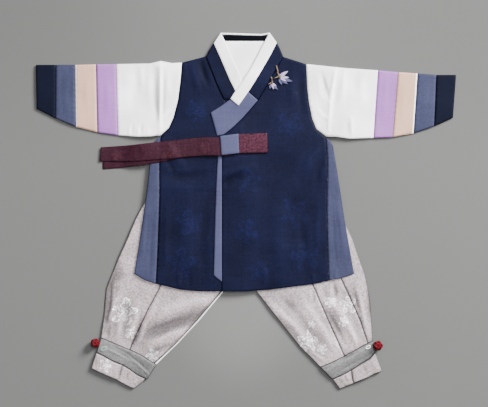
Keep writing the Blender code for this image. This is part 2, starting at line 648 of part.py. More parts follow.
def make_ties():
    """The two tails, the loop folded back on itself, and the keeper round them."""
    def upper_base(x, y):
        return tie_base(x, y) + LAYER

    def keeper_base(x, y):
        return tie_base(x, y) + 2 * LAYER + KEEPER_SLACK

    ends = [UPPER_TAIL_LOW[0], UPPER_TAIL_TOP[0]]
    outer_ends = [UPPER_TAIL_LOW[-1], UPPER_TAIL_TOP[-1]]
    flat_piece("tie_upper_tail", patch(UPPER_TAIL_LOW, UPPER_TAIL_TOP, ends, outer_ends, FINE_STEP),
               upper_base, MAROON)
    lower_top = [(x, y + TAIL_WIDTH) for x, y in LOWER_TAIL_LOW]
    flat_piece("tie_lower_tail",
               patch(LOWER_TAIL_LOW, lower_top, [LOWER_TAIL_LOW[0], lower_top[0]],
                     [LOWER_TAIL_LOW[-1], lower_top[-1]], FINE_STEP), tie_base, MAROON)
    loop_net = patch([LOOP[0], LOOP[3]], [LOOP[1], LOOP[2]], [LOOP[0], LOOP[1]],
                     [LOOP[3], LOOP[2]], FINE_STEP)
    folded_piece("tie_loop", loop_net, tie_base, LAYER + WALL, MAROON)
    flat_piece("tie_keeper", patch([KEEPER[0], KEEPER[3]], [KEEPER[1], KEEPER[2]],
                                   [KEEPER[0], KEEPER[1]], [KEEPER[3], KEEPER[2]], FINE_STEP),
               keeper_base, SLATE)


def surface(x, y):
    """The flat surface that the garment lies on."""
    return np.zeros_like(x)


def leg_folds(x, y):
    """The trousers' ridges and troughs, all outside the vest's hem."""
    return fold_height(LEG_FOLDS, x, y)


def leg_panel(name, seam, edge, ankle):
    """A leg panel folded round one edge of the leg. Its net runs from the seam to that edge."""
    net = patch(seam, edge, [seam[0], edge[0]], ankle, GRID_STEP)
    folded_piece(name, net, surface, LEG_HEIGHT, SILVER, raised=leg_folds, thick=TROUSER_WALL)


def make_trousers():
    """The legs in their panels, the narrow seam strip and the waistband under the vest."""
    leg_panel("leg_left_outer", LEFT_LEG_SEAM, LEFT_LEG_OUTER, LEFT_ANKLE_TOP[3::-1])
    leg_panel("leg_left_inner", LEFT_LEG_SEAM, LEFT_LEG_INNER, LEFT_ANKLE_TOP[3:7])
    strip = patch(SEAM_STRIP_INNER, SEAM_STRIP_OUTER, [SEAM_STRIP_INNER[0], SEAM_STRIP_OUTER[0]],
                  [SEAM_STRIP_INNER[-1], SEAM_STRIP_OUTER[-1]], GRID_STEP)
    flat_piece("leg_left_seam_strip", strip, surface, WHITE, thick=TROUSER_WALL)
    leg_panel("leg_right_outer", RIGHT_LEG_SEAM_OUT, RIGHT_LEG_OUTER, RIGHT_ANKLE_TOP[1::-1])
    leg_panel("leg_right_inner", RIGHT_LEG_SEAM_IN, RIGHT_LEG_INNER, RIGHT_ANKLE_TOP[4:])
    middle = patch(RIGHT_LEG_SEAM_IN, RIGHT_LEG_SEAM_OUT,
                   [RIGHT_LEG_SEAM_IN[0], RIGHT_LEG_SEAM_OUT[0]], RIGHT_ANKLE_TOP[4:0:-1],
                   GRID_STEP)

    def top_layer(x, y):
        return surface(x, y) + LEG_HEIGHT - TROUSER_WALL

    flat_piece("leg_right_middle_back", middle, surface, SILVER, thick=TROUSER_WALL)
    raised_piece("leg_right_middle_front", middle, top_layer, SILVER)
    waist = patch([WAIST_LOW[0], WAIST_TOP[0]], [WAIST_LOW[1], WAIST_TOP[1]], WAIST_LOW, WAIST_TOP,
                  WAIST_STEP)
    folded_piece("waistband", waist, surface, LEG_HEIGHT, SILVER, thick=TROUSER_WALL,
                 fold_start=True, sides="bt")


def raised_piece(name, net, base, finish):
    """A single top layer of the trousers, lifted whole by the folds below and in it."""
    net = pull_in(net)
    x, y = net[..., 0], net[..., 1]
    low = base(x, y) + leg_folds(x, y)
    wall_object(name, with_height(net, low + TROUSER_WALL), with_height(net, low), finish)


def make_ankles():
    """The ankle bands, the pleated cuffs below them, the knots and their loops."""
    rows = [("ankle_band_left", LEFT_ANKLE_TOP, LEFT_ANKLE_LOW, ANKLE_GREY, BAND_HEIGHT),
            ("ankle_band_right", RIGHT_ANKLE_TOP, RIGHT_ANKLE_LOW, ANKLE_GREY, BAND_HEIGHT),
            ("cuff_left", LEFT_CUFF_TOP, LEFT_CUFF_LOW, SILVER, CUFF_HEIGHT),
            ("cuff_right", RIGHT_CUFF_TOP, RIGHT_CUFF_LOW, SILVER, CUFF_HEIGHT)]
    for name, top, low, finish, height in rows:
        net = patch([low[0], top[0]], [low[-1], top[-1]], low, top, FINE_STEP, FINE_STEP)
        folded_piece(name, net, surface, height, finish, thick=TROUSER_WALL, fold_start=True,
                     sides="bt")
    for side, edges in (("left", LEFT_PLEAT), ("right", RIGHT_PLEAT)):
        net = patch(edges["left"], edges["right"], edges["low"], edges["top"], FINE_STEP)
        flat_piece(f"cuff_{side}_pleat", net, on_cuff, SILVER)
    for name, x, y, radius in KNOTS:
        make_knot(name, x, y, radius)
    for name, x, y, turn in LOOPS:
        make_loop(name, x, y, turn)
    net = patch([TAB[0], TAB[3]], [TAB[1], TAB[2]], [TAB[0], TAB[1]], [TAB[3], TAB[2]], FINE_STEP)
    flat_piece("knot_tab_left", net, on_band, MINT)


def on_cuff(x, y):
    """The level just above a cuff's top layer."""
    return surface(x, y) + CUFF_HEIGHT + LAYER_GAP


def on_band(x, y):
    """The level just above an ankle band's top layer."""
    return surface(x, y) + BAND_HEIGHT + LAYER_GAP


def make_loop(name, x, y, turn):
    """A small cord loop: an oval ring lying on the ankle band."""
    long_way = math.radians(turn)
    rows = []
    for index in range(LOOP_PLACES):
        place = 2 * math.pi * index / LOOP_PLACES
        out_x = math.cos(place)
        out_y = math.sin(place)
        ring = []
        for side in range(LOOP_SIDES):
            angle = 2 * math.pi * side / LOOP_SIDES
            along_x = (LOOP_LONG + LOOP_THICK * math.cos(angle)) * out_x
            along_y = (LOOP_SHORT + LOOP_THICK * math.cos(angle)) * out_y
            height = BAND_HEIGHT + LAYER_GAP + LOOP_THICK * (1 + math.sin(angle))
            ring.append((x + along_x * math.cos(long_way) - along_y * math.sin(long_way),
                         y + along_x * math.sin(long_way) + along_y * math.cos(long_way), height))
        rows.append(ring)
    mesh = bpy.data.meshes.new(name)
    build = bmesh.new()
    verts = [[build.verts.new((a * MM, b * MM, c * MM)) for a, b, c in ring] for ring in rows]
    for index in range(LOOP_PLACES):
        after = (index + 1) % LOOP_PLACES
        for side in range(LOOP_SIDES):
            up = (side + 1) % LOOP_SIDES
            build.faces.new([verts[index][side], verts[after][side], verts[after][up],
                             verts[index][up]])
    bmesh.ops.recalc_face_normals(build, faces=build.faces)
    build.to_mesh(mesh)
    build.free()
    mesh.shade_smooth()
    mesh.materials.append(finish_material(name, WHITE))
    bpy.context.collection.objects.link(bpy.data.objects.new(name, mesh))


def above_front(x, y):
    """The level just above the over front."""
    return over_base(x, y) + LAYER


def make_blossoms():
    """Two raised blossoms with their stems, lying on the over front at the shoulder."""
    for blossom in BLOSSOMS:
        turns = np.radians(np.arange(BLOSSOM_SPOKES) * 360.0 / BLOSSOM_SPOKES)
        reach = np.full(BLOSSOM_SPOKES, blossom.heart)
        for petal in blossom.petals:
            off = np.angle(np.exp(1j * (turns - math.radians(petal.angle))))
            reach += petal.reach * smooth(1 - np.abs(off) / math.radians(petal.spread))
        nets = []
        for is_top in (True, False):
            rows = []
            for ring in range(BLOSSOM_RINGS + 1):
                share = BLOSSOM_CORE + (1 - BLOSSOM_CORE) * ring / BLOSSOM_RINGS
                x = blossom.x + reach * share * np.cos(turns)
                y = blossom.y + reach * share * np.sin(turns)
                crown = BLOSSOM_RIM_HEIGHT
                crown += (BLOSSOM_HEART_HEIGHT - BLOSSOM_RIM_HEIGHT) * (1 - share * share)
                level = above_front(x, y) + (crown if is_top else 0.0)
                rows.append(np.stack([x, y, level], axis=1))
            nets.append(np.stack(rows))
        blossom_object(blossom.name, nets[0], nets[1])
        make_stem(blossom)


def blossom_object(name, top, low):
    """Closes a blossom's domed top and flat underside into one body."""
    mesh = bpy.data.meshes.new(name)
    build = bmesh.new()
    nets = [[[build.verts.new(tuple(point * MM)) for point in row] for row in net]
            for net in (top, low)]
    spokes = top.shape[1]
    for which, net in enumerate(nets):
        for ring in range(len(net) - 1):
            for spoke in range(spokes):
                after = (spoke + 1) % spokes
                build.faces.new([net[ring][spoke], net[ring][after], net[ring + 1][after],
                                 net[ring + 1][spoke]])
        build.faces.new(net[0])
    for spoke in range(spokes):
        after = (spoke + 1) % spokes
        build.faces.new([nets[0][-1][spoke], nets[0][-1][after], nets[1][-1][after],
                         nets[1][-1][spoke]])
    bmesh.ops.recalc_face_normals(build, faces=build.faces)
    bmesh.ops.triangulate(build, faces=build.faces)
    build.to_mesh(mesh)
    build.free()
    mesh.shade_smooth()
    mesh.set_sharp_from_angle(angle=math.radians(40))
    mesh.materials.append(finish_material(name, BLOSSOM))
    bpy.context.collection.objects.link(bpy.data.objects.new(name, mesh))


def make_stem(blossom):
    """A blossom's narrow stem: a raised strip along its own short line."""
    centre = np.array(blossom.stem, dtype=float)
    way = np.gradient(centre, axis=0)
    across = np.stack([way[:, 1], -way[:, 0]], axis=1)
    across = across / np.linalg.norm(across, axis=1, keepdims=True) * STEM_WIDTH / 2
    left = [tuple(point) for point in centre - across]
    right = [tuple(point) for point in centre + across]
    net = patch(left[::-1], right[::-1], [left[-1], right[-1]], [left[0], right[0]], FINE_STEP)
    end_y = blossom.stem[-1][1]
    rise = STEM_RISE_SHARE * (blossom.stem[0][1] - end_y)

    def from_front_to_collar(x, y):
        share = smooth((y - end_y) / rise)
        return (1 - share) * above_front(x, y) + share * (over_collar_base(x, y) + LAYER)

    flat_piece(blossom.name + "_stem", net, from_front_to_collar, BEIGE, thick=STEM_HEIGHT)


def make_knot(name, x, y, radius):
    """A small round silk knot: a ball with shallow spiral ridges."""
    mesh = bpy.data.meshes.new(name)
    build = bmesh.new()
    bmesh.ops.create_uvsphere(build, u_segments=16, v_segments=10, radius=1.0)
    for vertex in build.verts:
        turn = math.atan2(vertex.co.y, vertex.co.x) + KNOT_TWIST * vertex.co.z
        ridge = math.cos(KNOT_RIDGES * turn) * (1 - abs(vertex.co.z))
        vertex.co *= radius * (1 - KNOT_RIDGE_DEPTH + KNOT_RIDGE_DEPTH * ridge) * MM
    build.to_mesh(mesh)
    build.free()
    mesh.shade_smooth()
    mesh.materials.append(finish_material(name, RED))
    knot = bpy.data.objects.new(name, mesh)
    knot.location = (x * MM, y * MM, radius * MM)
    bpy.context.collection.objects.link(knot)


def main():
    for old in list(bpy.data.objects):
        bpy.data.objects.remove(old)
    make_body()
    make_neck()
    make_collar()
    make_ties()
    make_sleeve("left", LEFT_SLEEVE, LEFT_SLEEVE_LOW, LEFT_SLEEVE_TOP, LEFT_ARMHOLE)
    make_sleeve("right", RIGHT_SLEEVE, RIGHT_SLEEVE_LOW, RIGHT_SLEEVE_TOP, RIGHT_ARMHOLE)
    make_trousers()
    make_ankles()
    make_blossoms()


main()
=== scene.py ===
"""Looks of a child's first-birthday hanbok laid flat: cloth shells, creases, weaves and knots."""

import math
from collections import namedtuple

import bmesh
import bpy
import numpy as np
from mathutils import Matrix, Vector


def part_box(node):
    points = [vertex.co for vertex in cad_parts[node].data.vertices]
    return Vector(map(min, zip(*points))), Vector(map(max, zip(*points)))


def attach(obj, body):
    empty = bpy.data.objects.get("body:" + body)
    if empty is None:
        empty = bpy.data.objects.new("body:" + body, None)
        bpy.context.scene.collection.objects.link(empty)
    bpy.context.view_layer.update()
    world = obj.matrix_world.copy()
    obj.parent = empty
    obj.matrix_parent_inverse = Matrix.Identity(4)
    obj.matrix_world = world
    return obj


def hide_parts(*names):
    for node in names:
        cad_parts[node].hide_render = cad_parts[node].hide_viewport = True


bl_info = {
    "name": "Child's hanbok, laid flat",
    "version": (1, 0, 0),
    "blender": (4, 5, 0),
    "location": "View3D > Sidebar > Hanbok",
    "description": "Dresses the solids of a laid-out hanbok in silk, with its creases and knots",
    "category": "Object",
}

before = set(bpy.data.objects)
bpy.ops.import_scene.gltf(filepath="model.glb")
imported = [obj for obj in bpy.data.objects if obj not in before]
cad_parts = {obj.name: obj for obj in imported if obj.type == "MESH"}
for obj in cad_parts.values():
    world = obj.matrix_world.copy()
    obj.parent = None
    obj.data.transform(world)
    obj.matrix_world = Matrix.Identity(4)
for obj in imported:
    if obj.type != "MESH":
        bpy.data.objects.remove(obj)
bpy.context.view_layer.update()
MM = 0.001

# Each cloth piece: its node, its silk, the cut's width and length in millimetres, the share of
# that rectangle that the cut fills, and what it lies on, if not the floor
Cut = namedtuple("Cut", "node silk width length share lies_on", defaults=("",))
CUTS = [Cut(*row) for row in (
    ("vest_back", "navy_silk", 302, 411, 0.89, "waistband"),
    ("front_under", "navy_silk", 145, 411, 0.83, "vest_back"),
    ("front_over", "navy_silk", 187, 410, 0.81, "front_under"),
    ("side_panel_left", "slate_silk", 80, 257, 0.62, "leg_left_outer"),
    ("side_panel_right", "slate_silk", 84, 249, 0.65, "leg_right_outer"),
    ("opening_strip", "slate_front", 15, 228, 0.81, "front_under"),
    ("collar_back", "navy_silk", 135, 31, 0.85),
    ("collar_inside", "dark_lining", 91, 12, 0.95, "collar_back"),
    ("back_lining", "white_silk", 103, 91, 0.88, "vest_back"),
    ("collar_under", "navy_silk", 34, 122, 0.80, "back_lining"),
    ("collar_over", "navy_silk", 30, 124, 0.82, "back_lining"),
    ("collar_end", "slate_front", 44, 92, 0.85, "front_under"),
    ("white_strip_back", "white_silk", 22, 124, 0.84, "collar_inside"),
    ("white_strip_under", "white_silk", 20, 112, 0.91, "collar_under"),
    ("white_strip_over", "white_silk", 20, 150, 0.91, "collar_over"),
    ("tie_upper_tail", "maroon_silk", 36, 228, 0.88, "tie_lower_tail"),
    ("tie_lower_tail", "maroon_silk", 34, 224, 0.93, "front_under"),
    ("tie_loop", "maroon_loop", 36, 134, 0.95, "front_over"),
    ("tie_keeper", "slate_front", 34, 38, 0.90, "tie_loop"),
    ("sleeve_left_white", "white_silk", 260, 116, 0.89),
    ("sleeve_left_lilac", "lilac_silk", 250, 38, 0.93),
    ("sleeve_left_beige", "beige_silk", 238, 39, 0.93),
    ("sleeve_left_slate", "slate_silk", 216, 36, 0.93),
    ("sleeve_left_cuff", "cuff_navy", 186, 35, 0.91),
    ("sleeve_right_white", "white_silk", 256, 126, 0.88),
    ("sleeve_right_lilac", "lilac_silk", 236, 43, 0.81),
    ("sleeve_right_beige", "beige_silk", 227, 43, 0.81),
    ("sleeve_right_slate", "slate_silk", 209, 40, 0.82),
    ("sleeve_right_cuff", "cuff_navy", 180, 38, 0.83),
    ("leg_left_outer", "silver_silk", 240, 322, 0.64),
    ("leg_left_inner", "silver_silk", 250, 360, 0.75),
    ("leg_left_seam_strip", "seam_white", 10, 206, 0.43),
    ("leg_right_outer", "silver_silk", 110, 312, 0.62),
    ("leg_right_inner", "silver_silk", 240, 352, 0.76),
    ("leg_right_middle_front", "silver_silk", 54, 350, 0.89, "leg_right_middle_back"),
    ("leg_right_middle_back", "silver_silk", 54, 350, 0.89),
    ("waistband", "silver_silk", 600, 22, 0.95),
    ("ankle_band_left", "ankle_satin", 220, 32, 0.91),
    ("ankle_band_right", "ankle_satin", 200, 28, 0.93),
    ("cuff_left", "silver_silk", 190, 29, 0.94),
    ("cuff_right", "silver_silk", 176, 27, 0.90),
    ("cuff_left_pleat", "silver_silk", 56, 30, 0.87, "cuff_left"),
    ("cuff_right_pleat", "silver_silk", 60, 28, 0.85, "cuff_right"),
)]

# Creases of the laid cloth in millimetres: a line of places, how far the crease reaches to each
# side, and its height, which is negative in a trough
Crease = namedtuple("Crease", "line reach height")
# Each crease also paints shade in its trough and a highlight on its ridge, past the deepest trough
# too
CREASES = [Crease(*row) for row in (
    # Sleeves
    ([(-149.4, 258), (-149, 205), (-150, 140)], 4.5, 2.0),
    ([(-157.5, 246), (-157.8, 210), (-156, 160)], 7, -1.7),
    ([(-143, 246), (-143.5, 200), (-145, 152)], 5, -1.4),
    ([(-136, 240), (-134, 205)], 7, 0.7),
    ([(-168, 250), (-169, 215), (-167, 180)], 7, 0.8),
    ([(-190.5, 252), (-190, 228), (-188, 208)], 8, -0.9),
    ([(-181, 252), (-182, 224)], 6, 0.6),
    ([(-205, 250), (-204, 216), (-206, 176)], 12, 0.8),
    ([(-199.5, 132), (-197, 150)], 4, -1.0),
    ([(-204, 131), (-203, 146)], 4, 0.9),
    ([(-183.5, 131), (-182, 152)], 4, -0.9),
    ([(-188, 131), (-188, 146)], 4, 0.8),
    ([(-172, 130), (-170, 146)], 5, 0.6),
    ([(157.5, 252), (152, 222), (148.4, 193), (146, 160), (144.5, 134)], 4.5, 2.0),
    ([(133, 240), (139.5, 214), (146.5, 194)], 5, -1.7),
    ([(165, 244), (161, 214), (156, 186), (154, 164)], 8, -1.3),
    ([(126, 236), (130, 208), (136, 186)], 6, 0.9),
    ([(173, 246), (171, 216), (168, 190)], 7, 0.7),
    ([(184.5, 163), (184.8, 146), (186, 129)], 4, 1.2),
    ([(178.5, 158), (178, 134)], 6, -0.9),
    ([(206, 240), (203, 206), (205, 180)], 12, 0.8),
    ([(193, 236), (192, 208)], 10, -0.6),
    ([(122, 180), (134, 166), (150, 158)], 6, 0.7),
    ([(-131, 180), (-141, 168), (-150, 162)], 6, 0.7),
    ([(-276, 236), (-278, 206), (-276, 176)], 9, 0.5),
    ([(-244, 236), (-240, 200), (-242, 164)], 9, 0.5),
    ([(246, 230), (243, 196), (242, 160)], 9, 0.5),
    ([(280, 226), (276, 190), (275, 160)], 9, 0.5),
    ([(-312, 238), (-316, 206), (-314, 178)], 9, 0.5),
    ([(316, 224), (312, 190), (311, 160)], 9, 0.5),
    # Vest
    ([(-46, 44), (-26, 53), (-2, 62)], 12, -1.8),
    ([(-44, 60), (-14, 72), (14, 78)], 8, 0.7),
    ([(-146, 62), (-110, 58), (-60, 66)], 12, -1.1),
    ([(-144, 40), (-100, 40), (-56, 46)], 12, 0.6),
    ([(-80, 264), (-74, 240), (-66, 220)], 8, -1.6),
    ([(-94, 256), (-88, 230), (-82, 208)], 10, 0.9),
    ([(-144, 122), (-122, 96), (-108, 72)], 12, 1.0),
    ([(-146, 104), (-134, 82), (-126, 66)], 8, -0.8),
    ([(136, 118), (114, 92), (102, 60)], 13, 1.2),
    ([(138, 96), (126, 72), (121, 42)], 9, -0.9),
    ([(84, 244), (80, 212), (86, 180)], 12, 0.9),
    ([(98, 236), (95, 204), (98, 170)], 8, -0.6),
    ([(-98, 26), (-104, -40), (-100, -118)], 22, 1.1),
    ([(-72, 10), (-76, -52), (-74, -132)], 13, -0.8),
    ([(-138, 10), (-140, -50), (-142, -112)], 10, 0.7),
    ([(62, 22), (58, -46), (62, -122)], 22, 1.1),
    ([(96, -10), (102, -70), (104, -122)], 13, -0.9),
    ([(126, 20), (124, -30), (126, -96)], 10, 0.8),
    ([(16, 30), (10, -30), (12, -84)], 16, 0.7),
    ([(30, -96), (34, -116), (32, -136)], 7, 0.9),
    ([(-116, -104), (-118, -120), (-116, -134)], 6, 0.9),
    ([(-98, -112), (-99, -136)], 5, -0.7),
    ([(117, -108), (117, -124)], 5, 1.0),
    ([(156.6, -124), (157, -106)], 4, 0.9),
    ([(-172, 10), (-178, -40), (-184, -98)], 6, 0.7),
    ([(-163, -20), (-167, -70), (-168, -110)], 5, -0.6),
    ([(158, 24), (168, -40), (174, -96)], 7, 0.7),
    ([(150, 4), (154, -50), (157, -100)], 5, -0.6),
    # Trousers
    ([(-222.6, -152), (-231, -160), (-234, -173), (-239, -190)], 5, 2.4),
    ([(-224, -92), (-236, -128), (-243, -160), (-246, -190), (-248, -214)], 8, -2.4),
    ([(-220, -104), (-226, -126), (-232, -148)], 9, -1.6),
    ([(-245, -132), (-243, -152), (-242, -168), (-244, -188)], 13, -3.6),
    ([(-218, -176), (-222, -204), (-226, -222)], 8, 1.8),
    ([(-207, -150), (-209, -190), (-213, -226)], 8, -1.3),
    ([(-238, -196), (-241, -212), (-242, -224)], 5, -1.2),
    ([(-190, -160), (-193, -190), (-204, -220)], 7, 1.4),
    ([(-74, -178), (-118, -196), (-164, -213), (-190, -226)], 23, -3.1),
    ([(-112, -195), (-138, -204), (-160, -212)], 8, -0.8),
    ([(-43, -139.5), (-102, -204), (-161.5, -269)], 2.2, -1.4),
    ([(-60, -158), (-104, -164), (-140, -172)], 15, 1.9),
    ([(-100, -208), (-130, -216), (-168, -234)], 12, 2.2),
    ([(-122, -230), (-146, -240), (-172, -250)], 7, -1.4),
    ([(-136, -247), (-154, -257)], 5, 1.5),
    ([(-182, -186), (-190, -212), (-199, -234)], 6, -1.6),
    ([(-176, -200), (-184, -222), (-192, -240)], 5, 1.3),
    ([(-158, -160), (-168, -188)], 7, 1.1),
    ([(-224, -120), (-230, -136)], 8, 1.0),
    ([(117, -136), (119, -150), (117, -162)], 4, -1.4),
    ([(112, -138), (112, -156)], 4, 1.0),
    ([(154, -128), (157, -142), (156, -154)], 5, -1.7),
    ([(148, -130), (148, -146)], 4, 1.1),
    ([(136, -134), (140, -150)], 6, -1.0),
    ([(150, -156), (172, -192), (192, -228)], 10, 2.1),
    ([(136, -166), (154, -196), (172, -232)], 7, -1.5),
    ([(196, -142), (204, -176), (212, -216)], 7, 1.8),
    ([(186, -134), (193, -158), (198, -176)], 6, -1.2),
    ([(208, -128), (216, -158), (218, -196)], 6, -1.5),
    ([(40, -160), (84, -204), (118, -240)], 10, 1.9),
    ([(80, -168), (110, -206), (142, -242)], 12, -1.5),
    ([(98, -158), (126, -196), (150, -232)], 9, 1.6),
    ([(64, -152), (84, -176)], 9, -1.0),
    ([(112, -244), (130, -258), (142, -265)], 5, 1.2),
    ([(156, -232), (164, -244)], 5, 1.1),
    ([(180, -206), (190, -226), (194, -238)], 5, 1.2),
    # Ankle bands and cuffs
    ([(-215.5, -268), (-219.5, -282), (-222, -294)], 2.6, -1.9),
    ([(-251, -264), (-253, -277)], 2.6, -1.4),
    ([(184, -277), (186.4, -296), (188.7, -302)], 2.6, -1.9),
    ([(-246, -240), (-224, -250), (-196, -264)], 3.5, 0.8),
    ([(-232, -236), (-206, -250), (-184, -268), (-170, -282)], 3, -0.8),
    ([(-196, -262), (-176, -280), (-168, -288)], 4, 0.9),
    ([(212, -240), (190, -252), (168, -266)], 3.5, 0.8),
    ([(216, -250), (190, -264), (164, -280)], 3, -0.8),
    ([(160, -268), (142, -280)], 4, 0.8),
    ([(162, -262), (176, -254), (192, -247)], 6, -1.5),
    ([(-226, -246), (-212, -254), (-200, -262)], 5, -0.8),
    ([(-262, -256), (-264, -272)], 4, -0.9),
    ([(-240, -264), (-244, -284)], 4, 0.8),
    ([(-206, -282), (-210, -300)], 4, -0.8),
    ([(-192, -292), (-194, -304)], 4, 0.8),
    ([(176, -286), (182, -300)], 4, 0.8),
    ([(162, -292), (168, -306)], 4, -0.7),
    ([(222, -262), (230, -280)], 5, 0.9),
    ([(204, -270), (212, -288)], 4, -0.7),
    # Ties
    ([(-232, 108), (-228, 76)], 9, 0.7),
    ([(-190, 118), (-184, 84)], 10, -0.6),
    ([(-132, 122), (-126, 92)], 12, 0.6),
    ([(8, 134), (6, 102)], 8, 0.4),
)]

# Seams pull the cloth down a little along these lines, this far to each side and this deep, all in
# millimetres
SEAM_LINES = [
    [(-152, -137), (-170.5, -170), (-184.5, -200), (-203, -243)],
    [(168, -122.5), (182.5, -153.5), (199.5, -191.5), (213, -231.4)],
    [(117, -131), (127, -153.5), (142.5, -188.5), (172, -253.8)],
    [(-149, 132), (-135, 145), (-127, 163), (-119, 194), (-114.5, 229), (-112, 259.5)],
    [(140, 129.5), (122.5, 143.5), (115.5, 161), (110, 189), (107, 215), (105, 257)],
    [(-157.5, -127), (-154, -51), (-151.5, 19), (-151.5, 80.5), (-149, 130.5)],
    [(145, -121.5), (142, -51), (141, 10.5), (142.5, 80.5), (140, 128)],
    [(-333.5, 162), (-332.5, 255.5)],
    [(-297.5, 147), (-299, 255.5)],
    [(-260, 137.5), (-262.5, 256.5)],
    [(-224, 132), (-227.5, 257)],
    [(329, 148), (333, 238)],
    [(293, 135.5), (300, 240.5)],
    [(256.5, 129), (266, 243)],
    [(223, 127.5), (231, 246)],
]
SEAM_REACH = 3.5
SEAM_DEPTH = -0.7
# Puckers along a seam in millimetres: their spacing, reach and height, and the length over which
# they drift; the drift itself is in radians
PUCKER_EVERY = 9.0
PUCKER_REACH = 8.0
PUCKER_HEIGHT = 0.22
DRIFT_LENGTH = 17.0
PUCKER_DRIFT = 2.0

# A crease has this share of its height at its two ends, and is whole this share of its length in
END_HEIGHT = 0.35
END_FADE = 0.35

# The creases grow from nothing at the floor to their whole height this many millimetres above it
FIELD_RISE = 3.6
# No trough goes deeper than this, in millimetres, so a tube's two walls keep apart
DEEPEST = -2.6

# Pieces that lie under others take a coarser mesh, by this many times
COARSER = {"vest_back": 2.0, "waistband": 2.0, "leg_right_middle_back": 1.5}
# No rolled edge is wider than this share of its cut's width
RIM_SHARE = 0.105
# The Z of a face's normal: more than the first on a wall's top, less than the second below it
TOP_FACE = 0.8
UNDERSIDE = -0.5
# Corners closer than these are one: in the solids, in the fine mesh, and along an edge
SOLID_WELD = 0.02 * MM
FINE_WELD = 0.04 * MM
SHORTEST_EDGE = 0.01 * MM
# A long edge is halved this many times at most
SPLIT_ROUNDS = 7
# Evening out takes edges flatter than this slope, and moves each point this share of the way to
# its neighbours' mean in each round
LEVEL_SLOPE = 0.35
EVEN_ROUNDS = 10
EVEN_SHARE = 0.6
# Faces that meet at more than this angle keep a sharp edge
SHARP_ANGLE = math.radians(60)

# Slow swells of the lying cloth: waves a metre in X and Y, turn and height in millimetres
Swell = namedtuple("Swell", "across up turn height")
SWELLS = [Swell(7.3, 4.1, 0.4, 0.35), Swell(-5.2, 8.9, 1.9, 0.3), Swell(13.7, -6.3, 3.1, 0.18),
          Swell(9.1, 17.9, 5.0, 0.14), Swell(-21.3, 11.7, 2.2, 0.1)]

# How each silk looks: thread in millimetres; how strong its slubs, speckle and soft patches of
# painted light and shade are; roughness and gloss; how much painted shade darkens it at a rim and
# for each millimetre of hollow, and painted highlight lightens it for each millimetre of ridge
Silk = namedtuple("Silk", "thread slub speckle patch roughness gloss rim hollow")
SILKS = {
    "navy_silk": Silk(0.7, 0.50, 0.60, 0.46, 0.52, 0.05, 0.28, 0.20),
    "cuff_navy": Silk(0.7, 0.20, 0.40, 0.24, 0.60, 0.05, 0.25, 0.08),
    "slate_silk": Silk(0.8, 0.34, 0.30, 0.20, 0.55, 0.08, 0.25, 0.08),
    "lilac_silk": Silk(0.7, 0.10, 0.10, 0.12, 0.50, 0.15, 0.05, 0.08),
    "beige_silk": Silk(0.7, 0.10, 0.10, 0.10, 0.55, 0.15, 0.05, 0.08),
    "white_silk": Silk(0.7, 0.06, 0.06, 0.12, 0.50, 0.20, 0.26, 0.20),
    "maroon_silk": Silk(0.7, 0.50, 0.90, 0.40, 0.48, 0.06, 0.40, 0.08),
    "seam_white": Silk(0.7, 0.04, 0.03, 0.05, 0.50, 0.20, 0.97, 0.0),
    "slate_front": Silk(0.8, 0.20, 0.14, 0.12, 0.55, 0.08, 0.25, 0.05),
    "maroon_loop": Silk(0.7, 0.50, 1.60, 0.40, 0.48, 0.06, 0.40, 0.06),
    "silver_silk": Silk(0.9, 0.16, 1.05, 0.34, 0.38, 0.60, 0.80, 0.34),
    "ankle_satin": Silk(1.2, 0.50, 0.80, 0.70, 0.34, 0.45, 0.60, 0.36),
    "dark_lining": Silk(0.8, 0.12, 0.08, 0.10, 0.70, 0.02, 0.20, 0.0),
    "mint_cord": Silk(0.6, 0.08, 0.05, 0.08, 0.55, 0.15, 0.10, 0.0),
}

# No painted shade in a hollow is darker, and no painted highlight on a ridge lighter, than these
# shares of the silk's colour
DEEPEST_SHADE = 0.34
RIDGE_HIGHLIGHT = 1.32
# How deep the weave's relief is, in metres, and its strength; and how much higher and smoother
# the thread of a rose is
WEAVE_DEPTH = 0.12 * MM
WEAVE_STRENGTH = 0.6
ROSE_RELIEF = 1.2
ROSE_SHEEN = 0.10
# Embroidery and cord: how much painted shade darkens a rim and the grooves between stitches, the
# stitches' spacing and slant, how deep they are and how strongly they show, and the thread's
# roughness and gloss
THREAD_RIM_SHADE = 0.72
STITCH_SHADE = 0.12
STITCH_EVERY = 0.55 * MM
STITCH_SLANT = 0.6
STITCH_DEPTH = 0.15 * MM
STITCH_STRENGTH = 0.8
THREAD_ROUGHNESS = 0.4
THREAD_GLOSS = 0.12
PLAIN_GLOSS = 0.25

# Roses woven into a silk, in millimetres: place, reach and turn in radians
Rose = namedtuple("Rose", "x y reach turn")
ROSES = {
    "navy_silk": [Rose(4, 51, 24, 0.3), Rose(-98, -20, 25, 1.4), Rose(86, -6, 27, 2.2),
                  Rose(0, -35, 22, 0.9), Rose(-114, -94, 27, 2.9), Rose(103, -80, 26, 0.1),
                  Rose(-88, 176, 21, 1.1), Rose(78, 150, 23, 2.0), Rose(22, -106, 18, 1.7)],
    "silver_silk": [Rose(-214, -177, 25, 0.5), Rose(-163, -253, 13, 1.2), Rose(178, -164, 17, 0.2),
                    Rose(148, -160, 10, 2.4), Rose(170, -193, 9, 0.8), Rose(115, -199, 7, 0.4),
                    Rose(108, -228, 20, 1.6), Rose(133, -241, 10, 2.1), Rose(-246, -270, 12, 0.7),
                    Rose(-200, -213, 12, 1.9)],
    "maroon_silk": [Rose(-136, 99, 10, 0.4), Rose(20, 113, 12, 1.0), Rose(-72, 110, 10, 2.2),
                    Rose(-225, 98, 11, 1.3)],
}
ROSE_STRENGTH = {"navy_silk": 0.5, "silver_silk": 0.95, "maroon_silk": 0.5}

